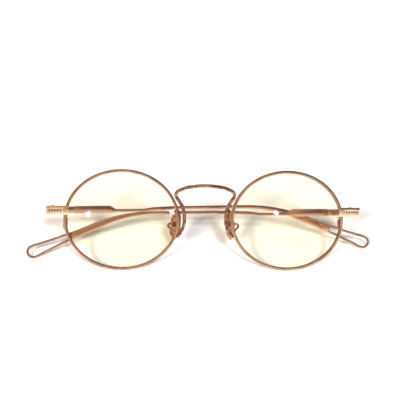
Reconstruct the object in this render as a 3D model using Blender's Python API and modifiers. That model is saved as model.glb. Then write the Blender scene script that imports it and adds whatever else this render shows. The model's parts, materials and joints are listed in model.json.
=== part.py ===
# Folded wire eyeglasses with two oval rims, modelled as separate pieces.
# Lengths are in millimetres here and become metres when a mesh is made.
# X runs across the front, Y runs back from the lenses, Z runs up the front.

import math

import bmesh
import bpy
from mathutils import Euler, Matrix, Vector

MM = 0.001

# Clearances
seat_gap = 0.3
running_gap = 0.3

# Lens and rim sizes
between_lenses = 22.8
rim_half_width = 23.6
rim_half_height = 20.5
rim_wall = 1.3
rim_depth = 2.0
rim_edge_soft = 0.3
groove_depth = 0.6
groove_width = 1.1
lens_bevel_engagement = 0.3
lens_bevel_width = 0.5
lens_thickness = 1.6
base_curve_radius = 130.0
face_wrap_angle = 3.0
lens_vertex_set_forward = 1.9

# Rim lock sizes
lock_width = 1.9
lock_depth = 2.0
lock_split_height = 0.9
lock_lower_height = 4.6
lock_split_gap = 0.4
lock_screw_radius = 0.3
lock_screw_head_radius = 0.7
lock_screw_head_height = 0.5
lock_screw_slot_width = 0.22
lock_screw_slot_depth = 0.2

# End piece sizes
end_piece_height = 3.8
end_piece_thickness = 1.4
end_piece_centre_height = 3.7
end_piece_reach = 7.35
end_corner_radius = 2.4
end_front_set_back = -0.6
end_nose_overlap = 2.4
end_nose_thickness = 0.75
end_front_slope = 0.6
end_bead_count = 5
end_bead_radius = 0.42
end_bead_pitch = 1.15
end_bead_depth = 0.3
end_rivet_radius = 1.25
end_rivet_height = 0.55

# Temple hinge sizes
hinge_back = 11.0
knuckle_radius = 1.15
knuckle_bore_radius = 0.75
knuckle_height = 0.85
hinge_leaf_thickness = 0.8
front_leaf_length = 5.5
hinge_leaf_set_in = 0.1
hinge_leaf_end_step = 0.2
swing_room_step = 0.1
temple_leaf_length = 6.5
hinge_screw_head_height = 0.3
hinge_screw_head_radius = 0.95
hinge_screw_slot_width = 0.26
hinge_screw_slot_depth = 0.22

# Bridge sizes
bridge_wire_radius = 0.72
bridge_top_height = 14.4
bridge_flat_half_span = 5.0
bridge_flat_fall = 0.35
bridge_crown_half_span = 9.6
bridge_crown_fall = 1.4
bridge_shoulder_set_out = 1.55
bridge_shoulder_height = 10.9
bridge_knee_set_out = 0.45
bridge_knee_height = 8.2
bridge_waist_set_in = 2.05
bridge_waist_height = 1.0
bridge_leg_upper_rise = 4.6
bridge_leg_upper_bow = 0.9
bridge_leg_lower_drop = 4.0
bridge_leg_lower_bow = 0.5
bridge_foot_height = -7.6
bridge_top_forward = 1.9
bridge_foot_forward = 1.0

# Nose pad sizes
pad_set_out = 0.95
pad_back = 10.0
pad_centre_height = -2.1
pad_length = 13.4
pad_width = 6.8
pad_thickness = 1.5
pad_splay_angle = 35.0
pad_flare_angle = 8.0
pad_box_length = 2.2
pad_box_width = 1.5
pad_box_height = 1.3
pad_arm_radius = 0.45
pad_arm_foot_height = -5.0
pad_arm_turn_drop = 2.2
pad_arm_turn_reach = 1.3
pad_arm_turn_out = 1.9
pad_arm_turn_forward = 4.6
pad_arm_turn_sink = 0.7
pad_arm_knee_back = 2.2
pad_arm_knee_step = 0.4
pad_arm_end_run = 0.9

# Temple sizes
temple_reach = 139.0
temple_thickness = 1.2
temple_edge_soft = 0.28
butt_overhang = 0.75
butt_height = 2.8
butt_step_length = 0.4
plate_start = 9.4
plate_end = 25.0
plate_height = 3.2
plate_chamfer_length = 2.2
waist_end = 39.0
waist_height = 1.25
waist_lift = 0.35
band_start = 44.0
band_height = 1.5
band_blend_length = 8.0
band_rise = 0.25
ear_bend_start = 84.0
ear_bend_radius = 62.0
ear_bend_angle = 22.5
temple_bow_depth = 4.356
loop_start = 120.5
loop_wire_radius = 0.55
loop_width = 4.8
loop_neck_width = 2.2
loop_neck_length = 0.6
bar_tip_height = 3.0

# Lying pose, folded
fold_angle_left = 6.6
fold_angle_right = 2.3
fold_rise_angle = 0.95
pantoscopic_angle = 7.0
temple_set_angle = 1.15
lean_back_angle = 21.8

# Facet counts
ring_steps = 64
wire_sides = 3
arc_steps = 8

# Derived places
lens_half_spacing = between_lenses / 2.0 + rim_half_width
rim_nose_edge = between_lenses / 2.0 - rim_wall / 2.0
bridge_shoulder_half_span = rim_nose_edge + bridge_shoulder_set_out
bridge_knee_half_span = rim_nose_edge + bridge_knee_set_out
bridge_waist_half_span = rim_nose_edge - bridge_waist_set_in
pad_half_span = rim_nose_edge + pad_set_out
rim_outer = rim_half_width + rim_wall / 2.0
end_piece_start = lens_half_spacing + rim_outer + seat_gap
front_half_width = end_piece_start + end_piece_reach
hinge_half_span = front_half_width - end_piece_thickness - running_gap - knuckle_radius
hinge_stack = 3.0 * knuckle_height + 2.0 * running_gap
lock_inner = rim_half_width - lock_width / 2.0
rim_side_sag = rim_half_width ** 2 / (2.0 * base_curve_radius) - lens_vertex_set_forward
lock_front = rim_side_sag + rim_depth / 2.0 + seat_gap
lock_back = lock_front + lock_depth
lock_screw_hole_radius = lock_screw_radius + running_gap
lock_screw_x = lock_inner + lock_width / 2.0
lock_screw_y = (lock_front + lock_back) / 2.0
end_piece_bottom = end_piece_centre_height - end_piece_height / 2.0
bar_offset = knuckle_radius + seat_gap + temple_thickness / 2.0


def clear_scene():
    for item in list(bpy.data.objects):
        bpy.data.objects.remove(item, do_unlink=True)
    for block in list(bpy.data.collections):
        bpy.data.collections.remove(block)


def make_material(name, colour, metallic, roughness, alpha=1.0):
    material = bpy.data.materials.new(name)
    material.use_nodes = True
    shader = material.node_tree.nodes["Principled BSDF"]
    shader.inputs["Base Color"].default_value = (*colour, 1.0)
    shader.inputs["Metallic"].default_value = metallic
    shader.inputs["Roughness"].default_value = roughness
    shader.inputs["Alpha"].default_value = alpha
    return material


clear_scene()
part_collection = bpy.data.collections.new("round_eyeglasses")
bpy.context.scene.collection.children.link(part_collection)
cutter_collection = bpy.data.collections.new("cutters")
bpy.context.scene.collection.children.link(cutter_collection)

frame_gold = make_material("frame_gold", (0.72, 0.42, 0.28), 1.0, 0.28)
pad_gold = make_material("pad_gold", (0.78, 0.50, 0.30), 1.0, 0.32)
screw_steel = make_material("screw_steel", (0.62, 0.58, 0.54), 1.0, 0.3)
clear_lens = make_material("clear_lens", (0.95, 0.95, 0.88), 0.0, 0.05, 0.3)


# Poses of the front, the lens units and the temples
def make_empty(name, matrix, parent=None):
    empty = bpy.data.objects.new(name, None)
    empty.empty_display_size = 0.005
    part_collection.objects.link(empty)
    empty.parent = parent
    empty.matrix_local = matrix
    return empty


def placement(location, rotation=None):
    matrix = Matrix.Translation(Vector(location) * MM)
    if rotation is not None:
        matrix = matrix @ rotation.to_4x4()
    return matrix


lean_rotation = Euler((-math.radians(lean_back_angle), 0.0, 0.0)).to_matrix()
front_root = make_empty("front_root", placement((0.0, 0.0, 0.0), lean_rotation))


def lens_unit(side, name):
    turn = Euler((0.0, 0.0, math.radians(face_wrap_angle) * side)).to_matrix()
    return make_empty(name, placement((side * lens_half_spacing, 0.0, 0.0), turn), front_root)


lens_units = {
    -1: lens_unit(-1, "lens_unit_left"),
    1: lens_unit(1, "lens_unit_right"),
}


def hinge_frame(side, fold_angle):
    rise = math.radians(fold_rise_angle) * -side
    fold = math.radians(fold_angle)
    along = Vector((-side * math.cos(fold), math.sin(fold), math.tan(rise))).normalized()
    tilt = math.radians(pantoscopic_angle + side * temple_set_angle)
    open_way = Vector((0.0, math.cos(tilt), -math.sin(tilt)))
    turn_axis = along.cross(open_way).normalized()
    up = turn_axis * -side
    across = along * -side
    back = up.cross(across)
    turn = Matrix((across, back, up)).transposed()
    place = (side * hinge_half_span, hinge_back, end_piece_centre_height)
    return placement(place, turn)


fold_angles = {-1: fold_angle_left, 1: fold_angle_right}
hinge_frames = {
    -1: make_empty("temple_hinge_left", hinge_frame(-1, fold_angle_left), front_root),
    1: make_empty("temple_hinge_right", hinge_frame(1, fold_angle_right), front_root),
}


# Mesh helpers
def finish_mesh(name, mesh_data, material, parent, smooth=True, collection=part_collection):
    item = bpy.data.objects.new(name, mesh_data)
    collection.objects.link(item)
    item.parent = parent
    mesh_data.materials.clear()
    mesh_data.materials.append(material)
    for polygon in mesh_data.polygons:
        polygon.use_smooth = smooth
    return item


def mesh_from_bmesh(name, work):
    bmesh.ops.recalc_face_normals(work, faces=work.faces)
    mesh_data = bpy.data.meshes.new(name)
    work.to_mesh(mesh_data)
    work.free()
    return mesh_data


def loft(name, rings, material, parent, closed=False, smooth=True):
    work = bmesh.new()
    made = [[work.verts.new(Vector(point) * MM) for point in ring] for ring in rings]
    count = len(made[0])
    last = len(made) if closed else len(made) - 1
    for index in range(last):
        first_ring = made[index]
        next_ring = made[(index + 1) % len(made)]
        for step in range(count):
            after = (step + 1) % count
            work.faces.new((first_ring[step], first_ring[after], next_ring[after], next_ring[step]))
    if not closed:
        work.faces.new(list(reversed(made[0])))
        work.faces.new(made[-1])
    return finish_mesh(name, mesh_from_bmesh(name, work), material, parent, smooth)


def mesh_from_curve(curve_object):
    depsgraph = bpy.context.evaluated_depsgraph_get()
    mesh_data = bpy.data.meshes.new_from_object(curve_object.evaluated_get(depsgraph))
    work = bmesh.new()
    work.from_mesh(mesh_data)
    bmesh.ops.remove_doubles(work, verts=work.verts, dist=0.000002)
    bmesh.ops.recalc_face_normals(work, faces=work.faces)
    work.to_mesh(mesh_data)
    work.free()
    return mesh_data


def wire(name, points, radius, material, parent, cyclic=False, steps=6, kind="BEZIER"):
    curve = bpy.data.curves.new(name, "CURVE")
    curve.dimensions = "3D"
    curve.bevel_depth = radius * MM
    curve.bevel_resolution = wire_sides
    curve.resolution_u = steps
    curve.use_fill_caps = not cyclic
    if kind == "BEZIER":
        spline = curve.splines.new("BEZIER")
        spline.bezier_points.add(len(points) - 1)
        for knot, point in zip(spline.bezier_points, points):
            knot.co = Vector(point) * MM
            knot.handle_left_type = "AUTO"
            knot.handle_right_type = "AUTO"
    else:
        spline = curve.splines.new("POLY")
        spline.points.add(len(points) - 1)
        for knot, point in zip(spline.points, points):
            knot.co = (*(Vector(point) * MM), 1.0)
    spline.use_cyclic_u = cyclic
    scratch = bpy.data.objects.new(name + "_path", curve)
    cutter_collection.objects.link(scratch)
    mesh_data = mesh_from_curve(scratch)
    bpy.data.objects.remove(scratch, do_unlink=True)
    return finish_mesh(name, mesh_data, material, parent)


def prism_mesh(name, outline, low, high):
    work = bmesh.new()
    lower = [work.verts.new(Vector((x, y, low)) * MM) for x, y in outline]
    base = work.faces.new(lower)
    grown = bmesh.ops.extrude_face_region(work, geom=[base])
    raised = [item for item in grown["geom"] if isinstance(item, bmesh.types.BMVert)]
    bmesh.ops.translate(work, verts=raised, vec=Vector((0.0, 0.0, (high - low) * MM)))
    return mesh_from_bmesh(name, work)


def prism(name, outline, low, high, material, parent, bevel=0.0, smooth=False):
    item = finish_mesh(name, prism_mesh(name, outline, low, high), material, parent, smooth)
    if bevel > 0.0:
        edge = item.modifiers.new("edge_round", "BEVEL")
        edge.width = bevel * MM
        edge.segments = 2
        edge.limit_method = "ANGLE"
        edge.angle_limit = math.radians(40.0)
    return item


def cylinder_mesh(name, radius, low, high, steps=24):
    ring = []
    for step in range(steps):
        angle = 2.0 * math.pi * step / steps
        ring.append((radius * math.cos(angle), radius * math.sin(angle)))
    return prism_mesh(name, ring, low, high)


def add_cutter(name, mesh_data, matrix, parent):
    cutter = bpy.data.objects.new(name, mesh_data)
    cutter_collection.objects.link(cutter)
    cutter.parent = parent
    cutter.matrix_local = matrix
    cutter.hide_render = True
    cutter.display_type = "WIRE"
    return cutter


def cut(item, cutter, name="cut"):
    change = item.modifiers.new(name, "BOOLEAN")
    change.operation = "DIFFERENCE"
    change.solver = "EXACT"
    change.object = cutter
    return change


def fuse(item, other, name="fuse"):
    change = item.modifiers.new(name, "BOOLEAN")
    change.operation = "UNION"
    change.solver = "EXACT"
    change.object = other
    return change


def side_name(side):
    return "left" if side < 0 else "right"


# The lens edge and the rim follow one bent oval
def oval_point(shrink, angle, depth):
    x = (rim_half_width - shrink) * math.cos(angle)
    z = (rim_half_height - shrink) * math.sin(angle)
    sag = (x * x + z * z) / (2.0 * base_curve_radius) - lens_vertex_set_forward
    return (x, depth + sag, z)


def oval_ring(shrink, depth):
    return [oval_point(shrink, 2.0 * math.pi * step / ring_steps, depth) for step in range(ring_steps)]


def make_rim(side):
    half_wall = rim_wall / 2.0
    half_depth = rim_depth / 2.0
    soft = rim_edge_soft
    mouth = groove_width / 2.0
    floor = mouth - 0.05
    section = [
        (-half_wall + soft, -half_depth),
        (-half_wall, -half_depth + soft),
        (-half_wall, half_depth - soft),
        (-half_wall + soft, half_depth),
        (half_wall, half_depth),
        (half_wall, mouth),
        (half_wall - groove_depth, floor),
        (half_wall - groove_depth, -floor),
        (half_wall, -mouth),
        (half_wall, -half_depth),
    ]
    rings = []
    for step in range(ring_steps):
        angle = 2.0 * math.pi * step / ring_steps
        rings.append([oval_point(shrink, angle, depth) for shrink, depth in section])
    name = "rim_" + side_name(side)
    rim = loft(name, rings, frame_gold, lens_units[side], closed=True)
    slit = [(-0.5, -3.0), (3.0, -3.0), (3.0, 3.0), (-0.5, 3.0)]
    slit = [(side * (rim_half_width - 1.0 + x), y) for x, y in slit]
    low = lock_split_height - lock_split_gap / 2.0
    slit_mesh = prism_mesh(name + "_slit", slit, low, low + lock_split_gap)
    cutter = add_cutter(name + "_slit", slit_mesh, Matrix.Identity(4), lens_units[side])
    cut(rim, cutter, "lock_slit")
    return rim


def make_lens(side):
    body = rim_wall / 2.0 + seat_gap
    tip = rim_wall / 2.0 - lens_bevel_engagement
    half = lens_thickness / 2.0
    rib = lens_bevel_width / 2.0
    inset = rim_half_width * 0.5
    profile = [
        (inset, -half),
        (rim_half_width * 0.2, -half),
        (body + 0.2, -half),
        (body, -half + 0.2),
        (body, -rib),
        (tip, -rib + 0.05),
        (tip, rib - 0.05),
        (body, rib),
        (body, half - 0.2),
        (body + 0.2, half),
        (rim_half_width * 0.2, half),
        (inset, half),
    ]
    rings = [oval_ring(shrink, depth) for shrink, depth in profile]
    work = bmesh.new()
    made = [[work.verts.new(Vector(point) * MM) for point in ring] for ring in rings]
    for index in range(len(made) - 1):
        for step in range(ring_steps):
            after = (step + 1) % ring_steps
            lower = made[index]
            upper = made[index + 1]
            work.faces.new((lower[step], lower[after], upper[after], upper[step]))
    front = work.verts.new(Vector((0.0, -half - lens_vertex_set_forward, 0.0)) * MM)
    back = work.verts.new(Vector((0.0, half - lens_vertex_set_forward, 0.0)) * MM)
    for step in range(ring_steps):
        after = (step + 1) % ring_steps
        work.faces.new((front, made[0][step], made[0][after]))
        work.faces.new((back, made[-1][after], made[-1][step]))
    name = "lens_" + side_name(side)
    return finish_mesh(name, mesh_from_bmesh(name, work), clear_lens, lens_units[side])


def box_outline(x_low, x_high, y_low, y_high):
    return [(x_low, y_low), (x_high, y_low), (x_high, y_high), (x_low, y_high)]


def mirrored(outline, side):
    return [(side * x, y) for x, y in outline]


def make_lock(side):
    unit = lens_units[side]
    tag = side_name(side)
    outline = mirrored(box_outline(lock_inner, lock_inner + lock_width, lock_front, lock_back), side)
    split_top = lock_split_height + lock_split_gap / 2.0
    split_bottom = lock_split_height - lock_split_gap / 2.0
    upper_top = end_piece_bottom - seat_gap
    lower_bottom = split_bottom - lock_lower_height
    upper = prism("lock_upper_" + tag, outline, split_top, upper_top, frame_gold, unit, 0.12)
    lower = prism("lock_lower_" + tag, outline, lower_bottom, split_bottom, frame_gold, unit, 0.12)
    place = placement((side * lock_screw_x, lock_screw_y, 0.0))
    shaft_top = split_top + (upper_top - split_top) / 2.0
    hole = cylinder_mesh("lock_hole_" + tag, lock_screw_hole_radius, lower_bottom - 1.0, shaft_top + 0.1)
    cutter = add_cutter("lock_hole_" + tag, hole, place, unit)
    cut(upper, cutter, "screw_hole")
    cut(lower, cutter, "screw_hole")
    head_top = lower_bottom - seat_gap
    profile = [
        (0.0, shaft_top - running_gap),
        (lock_screw_radius, shaft_top - running_gap),
        (lock_screw_radius, head_top),
        (lock_screw_head_radius, head_top),
        (lock_screw_head_radius, head_top - lock_screw_head_height * 0.7),
        (lock_screw_head_radius * 0.8, head_top - lock_screw_head_height),
        (0.0, head_top - lock_screw_head_height),
    ]
    screw = revolve("lock_screw_" + tag, profile, 16, screw_steel, unit)
    screw.matrix_local = place
    slot_half = lock_screw_slot_width / 2.0
    slot_reach = lock_screw_head_radius * 1.5
    slot_outline = box_outline(-slot_reach, slot_reach, -slot_half, slot_half)
    slot = prism_mesh("lock_slot_" + tag, slot_outline, -lock_screw_slot_depth * 5.0, 0.0)
    slot_floor = head_top - lock_screw_head_height + lock_screw_slot_depth
    slot_place = placement((side * lock_screw_x, lock_screw_y, slot_floor))
    cut(screw, add_cutter("lock_slot_" + tag, slot, slot_place, unit), "driver_slot")


def revolve(name, profile, steps, material, parent):
    work = bmesh.new()
    last = None
    for radius, height in profile:
        vert = work.verts.new(Vector((radius, 0.0, height)) * MM)
        if last is not None:
            work.edges.new((last, vert))
        last = vert
    mesh_data = bpy.data.meshes.new(name)
    work.to_mesh(mesh_data)
    work.free()
    item = finish_mesh(name, mesh_data, material, parent)
    spin = item.modifiers.new("revolve", "SCREW")
    spin.angle = 2.0 * math.pi
    spin.steps = steps
    spin.render_steps = steps
    spin.use_merge_vertices = True
    spin.merge_threshold = 0.00001
    return item


def end_piece_outline():
    inner_end = end_piece_start - end_nose_overlap
    front = end_front_set_back
    centre_x = front_half_width - end_corner_radius
    centre_y = front + end_front_slope + end_corner_radius
    inner_radius = end_corner_radius - end_piece_thickness
    outer = []
    inner = []
    for step in range(arc_steps + 1):
        angle = -math.pi / 2.0 + (math.pi / 2.0) * step / arc_steps
        across = math.cos(angle)
        back = math.sin(angle)
        outer.append((centre_x + end_corner_radius * across, centre_y + end_corner_radius * back))
        inner.append((centre_x + inner_radius * across, centre_y + inner_radius * back))
    leg_end = hinge_back - knuckle_radius
    outline = [(inner_end, front)] + outer + [(front_half_width, leg_end)]
    outline += [(front_half_width - end_piece_thickness, leg_end)]
    outline += list(reversed(inner))
    outline += [(end_piece_start, front + end_piece_thickness + end_front_slope * 0.5)]
    outline += [(end_piece_start, front + end_nose_thickness), (inner_end, front + end_nose_thickness)]
    return outline


def make_end_piece(side):
    tag = side_name(side)
    half = end_piece_height / 2.0
    low = end_piece_centre_height - half
    high = end_piece_centre_height + half
    outline = mirrored(end_piece_outline(), side)
    piece = prism("end_piece_" + tag, outline, low, high, frame_gold, front_root, 0.35)
    start = end_piece_start - end_nose_overlap
    first = start + end_rivet_radius * 2.0 + 0.9
    for index in range(end_bead_count):
        x = first + index * end_bead_pitch
        bead = cylinder_mesh("bead_%s_%d" % (tag, index), end_bead_radius, -1.0, 1.0, 10)
        face_y = end_front_set_back + end_bead_depth - 1.0
        face_y += end_front_slope * (x - start) / (front_half_width - end_corner_radius - start)
        turn = Euler((math.pi / 2.0, 0.0, 0.0)).to_matrix()
        place = placement((side * x, face_y, end_piece_centre_height), turn)
        cutter = add_cutter("bead_%s_%d" % (tag, index), bead, place, front_root)
        cut(piece, cutter, "bead_%d" % index)
    profile = [
        (0.0, end_rivet_height),
        (end_rivet_radius * 0.55, end_rivet_height),
        (end_rivet_radius * 0.9, end_rivet_height * 0.6),
        (end_rivet_radius, 0.0),
        (0.0, 0.0),
    ]
    rivet = revolve("end_rivet_" + tag, profile, 20, frame_gold, front_root)
    turn = Euler((math.pi / 2.0, 0.0, 0.0)).to_matrix()
    rivet_y = end_front_set_back - seat_gap
    rivet_x = side * (start + end_rivet_radius)
    rivet.matrix_local = placement((rivet_x, rivet_y, end_piece_centre_height), turn)
    return piece


def barrel_mesh(name, low, high):
    return cylinder_mesh(name, knuckle_radius, low, high, 20)


def make_hinge(side):
    tag = side_name(side)
    hinge = hinge_frames[side]
    half = hinge_stack / 2.0
    mid_low = -knuckle_height / 2.0
    mid_high = knuckle_height / 2.0
    bore = cylinder_mesh("hinge_bore_" + tag, knuckle_bore_radius, -half - 2.0, half + 2.0, 20)
    bore_cutter = add_cutter("hinge_bore_" + tag, bore, Matrix.Identity(4), hinge)

    # The front leaf lies inside the end piece's leg and carries two knuckles
    leaf_x_high = hinge_half_span + knuckle_radius - hinge_leaf_set_in
    leaf_x_low = leaf_x_high - hinge_leaf_thickness
    leaf_outline = box_outline(leaf_x_low, leaf_x_high, hinge_back - front_leaf_length, hinge_back)
    leaf_outline = mirrored(leaf_outline, side)
    leaf_low = end_piece_centre_height - half + hinge_leaf_end_step
    leaf_high = end_piece_centre_height + half - hinge_leaf_end_step
    leaf = prism("front_hinge_" + tag, leaf_outline, leaf_low, leaf_high, frame_gold, front_root)
    low_barrel = barrel_mesh("knuckle_low_" + tag, -half, mid_low - running_gap)
    high_barrel = barrel_mesh("knuckle_high_" + tag, mid_high + running_gap, half)
    lower = add_cutter("knuckle_low_" + tag, low_barrel, Matrix.Identity(4), hinge)
    upper = add_cutter("knuckle_high_" + tag, high_barrel, Matrix.Identity(4), hinge)
    room = running_gap + swing_room_step
    swing_radius = knuckle_radius + running_gap
    clear = cylinder_mesh("knuckle_clear_" + tag, swing_radius, mid_low - room, mid_high + room, 20)
    cut(leaf, add_cutter("knuckle_clear_" + tag, clear, Matrix.Identity(4), hinge), "swing_room")
    fuse(leaf, lower, "lower_knuckle")
    fuse(leaf, upper, "upper_knuckle")
    cut(leaf, bore_cutter, "bore")

    # The temple leaf carries the middle knuckle
    leaf_back = bar_offset - temple_thickness / 2.0 - seat_gap
    tab = box_outline(0.0, temple_leaf_length, leaf_back - hinge_leaf_thickness, leaf_back)
    tab = mirrored(tab, -side)
    temple_leaf = prism("temple_hinge_leaf_" + tag, tab, mid_low, mid_high, frame_gold, hinge)
    mid_barrel = barrel_mesh("knuckle_mid_" + tag, mid_low, mid_high)
    middle = add_cutter("knuckle_mid_" + tag, mid_barrel, Matrix.Identity(4), hinge)
    fuse(temple_leaf, middle, "middle_knuckle")
    cut(temple_leaf, bore_cutter, "bore")

    # The screw turns freely in the knuckles
    head_low = half + seat_gap
    shaft = knuckle_bore_radius - running_gap
    profile = [
        (0.0, head_low + hinge_screw_head_height),
        (hinge_screw_head_radius * 0.8, head_low + hinge_screw_head_height),
        (hinge_screw_head_radius, head_low + hinge_screw_head_height * 0.6),
        (hinge_screw_head_radius, head_low),
        (shaft, head_low),
        (shaft, -half),
        (0.0, -half),
    ]
    screw_pose = make_empty("hinge_screw_pose_" + tag, hinge_frame(side, fold_angles[side]), front_root)
    screw = revolve("hinge_screw_" + tag, profile, 16, screw_steel, screw_pose)
    slot_half = hinge_screw_slot_width / 2.0
    slot_reach = hinge_screw_head_radius * 1.5
    slot_outline = box_outline(-slot_reach, slot_reach, -slot_half, slot_half)
    slot = prism_mesh("hinge_slot_" + tag, slot_outline, 0.0, hinge_screw_slot_depth * 5.0)
    slot_place = placement((0.0, 0.0, head_low + hinge_screw_head_height - hinge_screw_slot_depth))
    cut(screw, add_cutter("hinge_slot_" + tag, slot, slot_place, screw_pose), "driver_slot")


# The temple's centre line, in distance from the hinge axis
def temple_line(along):
    bend = math.radians(ear_bend_angle)
    arc_reach = ear_bend_radius * math.sin(bend)
    rise = band_rise * min(max((along - waist_end) / (band_start - waist_end), 0.0), 1.0)
    past = along - ear_bend_start
    if past <= 0.0:
        drop = 0.0
        slope = 0.0
    elif past < arc_reach:
        slope = math.asin(past / ear_bend_radius)
        drop = ear_bend_radius * (1.0 - math.cos(slope))
    else:
        slope = bend
        drop = ear_bend_radius * (1.0 - math.cos(bend)) + (past - arc_reach) * math.tan(bend)
    return along, temple_bow_line(along), rise - drop, slope


def temple_bow_line(along):
    return bar_offset - temple_bow_depth * (along / loop_start) ** 2


def temple_section(side, along, height, top_shift=0.0):
    x, y, z, slope = temple_line(along)
    half_y = temple_thickness / 2.0
    half_z = height / 2.0
    soft = temple_edge_soft
    corners = [
        (-half_y + soft, -half_z),
        (half_y - soft, -half_z),
        (half_y, -half_z + soft),
        (half_y, half_z - soft),
        (half_y - soft, half_z),
        (-half_y + soft, half_z),
        (-half_y, half_z - soft),
        (-half_y, -half_z + soft),
    ]
    ring = []
    for across, up in corners:
        lean = up + top_shift
        ring.append((-side * (x + lean * math.sin(slope)), y + across, z + lean * math.cos(slope)))
    return ring


def make_temple(side):
    tag = side_name(side)
    hinge = hinge_frames[side]
    waist_shift = (waist_height - plate_height) / 2.0 + waist_lift
    band_full = band_start + band_blend_length
    straight = ear_bend_start - band_full
    stations = [
        (-butt_overhang, butt_height, 0.0),
        (plate_start - butt_step_length, butt_height, 0.0),
        (plate_start, plate_height, 0.0),
        (plate_end, plate_height, 0.0),
        (plate_end + plate_chamfer_length, waist_height, waist_shift),
        (waist_end, waist_height, waist_shift),
        (band_start, band_height, waist_shift * 0.5),
        (band_full, band_height, 0.0),
        (band_full + straight * 0.4, band_height, 0.0),
        (band_full + straight * 0.75, band_height, 0.0),
    ]
    bend_end = ear_bend_start + ear_bend_radius * math.sin(math.radians(ear_bend_angle))
    for step in range(7):
        along = ear_bend_start + (bend_end - ear_bend_start) * step / 6.0
        stations.append((along, band_height + (bar_tip_height - band_height) * (step / 6.0) ** 2, 0.0))
    stations.append((loop_start, bar_tip_height, 0.0))
    rings = [temple_section(side, along, height, shift) for along, height, shift in stations]
    loft("temple_bar_" + tag, rings, frame_gold, hinge, smooth=False)
    make_loop(side, hinge, tag)


def make_loop(side, hinge, tag):
    bend = math.radians(ear_bend_angle)
    half = loop_width / 2.0
    start = loop_start + (seat_gap + loop_wire_radius) * math.cos(bend)
    end = temple_reach - (half + loop_wire_radius) * math.cos(bend)
    length = (end - start) / math.cos(bend)
    local = []
    neck = loop_neck_width / 2.0
    local.append((0.0, 0.0))
    local.append((loop_neck_length / 6.0, neck * 0.55))
    local.append((loop_neck_length, neck))
    local.append((length * 0.5, (neck + half) / 2.0))
    local.append((length, half))
    turns = 8
    for step in range(1, turns):
        angle = math.pi / 2.0 - math.pi * step / turns
        local.append((length + half * math.cos(angle), half * math.sin(angle)))
    local.append((length, -half))
    local.append((length * 0.5, -(neck + half) / 2.0))
    local.append((loop_neck_length, -neck))
    local.append((loop_neck_length / 6.0, -neck * 0.55))
    base = temple_line(start)
    points = []
    for along, up in local:
        x = start + along * math.cos(bend) + up * math.sin(bend)
        z = base[2] - along * math.sin(bend) + up * math.cos(bend)
        points.append((-side * x, temple_bow_line(x), z))
    wire("temple_loop_" + tag, points, loop_wire_radius, frame_gold, hinge, cyclic=True, kind="POLY")


def make_bridge():
    upper_bow = bridge_waist_half_span + bridge_leg_upper_bow
    lower_bow = bridge_waist_half_span + bridge_leg_lower_bow
    half = [
        (0.0, -bridge_top_forward, bridge_top_height),
        (bridge_flat_half_span, -bridge_top_forward, bridge_top_height - bridge_flat_fall),
        (bridge_crown_half_span, -bridge_top_forward * 0.85, bridge_top_height - bridge_crown_fall),
        (bridge_shoulder_half_span, -bridge_foot_forward * 1.2, bridge_shoulder_height),
        (bridge_knee_half_span, -bridge_foot_forward, bridge_knee_height),
        (upper_bow, -bridge_foot_forward, bridge_waist_height + bridge_leg_upper_rise),
        (bridge_waist_half_span, -bridge_foot_forward, bridge_waist_height),
        (lower_bow, -bridge_foot_forward, bridge_waist_height - bridge_leg_lower_drop),
        (bridge_foot_half_span(), -bridge_foot_forward, bridge_foot_height),
    ]
    points = [(-x, y, z) for x, y, z in reversed(half)] + half[1:]
    wire("bridge", points, bridge_wire_radius, frame_gold, front_root, steps=4)


def bridge_foot_half_span():
    part = bridge_foot_height / rim_half_height
    centre_line = lens_half_spacing - rim_half_width * math.sqrt(1.0 - part * part)
    return centre_line - rim_wall / 2.0 - seat_gap - bridge_wire_radius


# Nose pads rock on a pin along their width
def pad_frame(side):
    splay = math.radians(pad_splay_angle)
    flare = math.radians(pad_flare_angle)
    inward = Vector((-side * math.cos(splay), math.sin(splay), 0.0))
    up = Vector((-side * math.sin(flare) * 0.8, -math.sin(flare) * 0.6, math.cos(flare))).normalized()
    across = up.cross(inward).normalized()
    inward = across.cross(up).normalized()
    turn = Matrix((across, up, inward)).transposed()
    return placement((side * pad_half_span, pad_back, pad_centre_height), turn)


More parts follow.
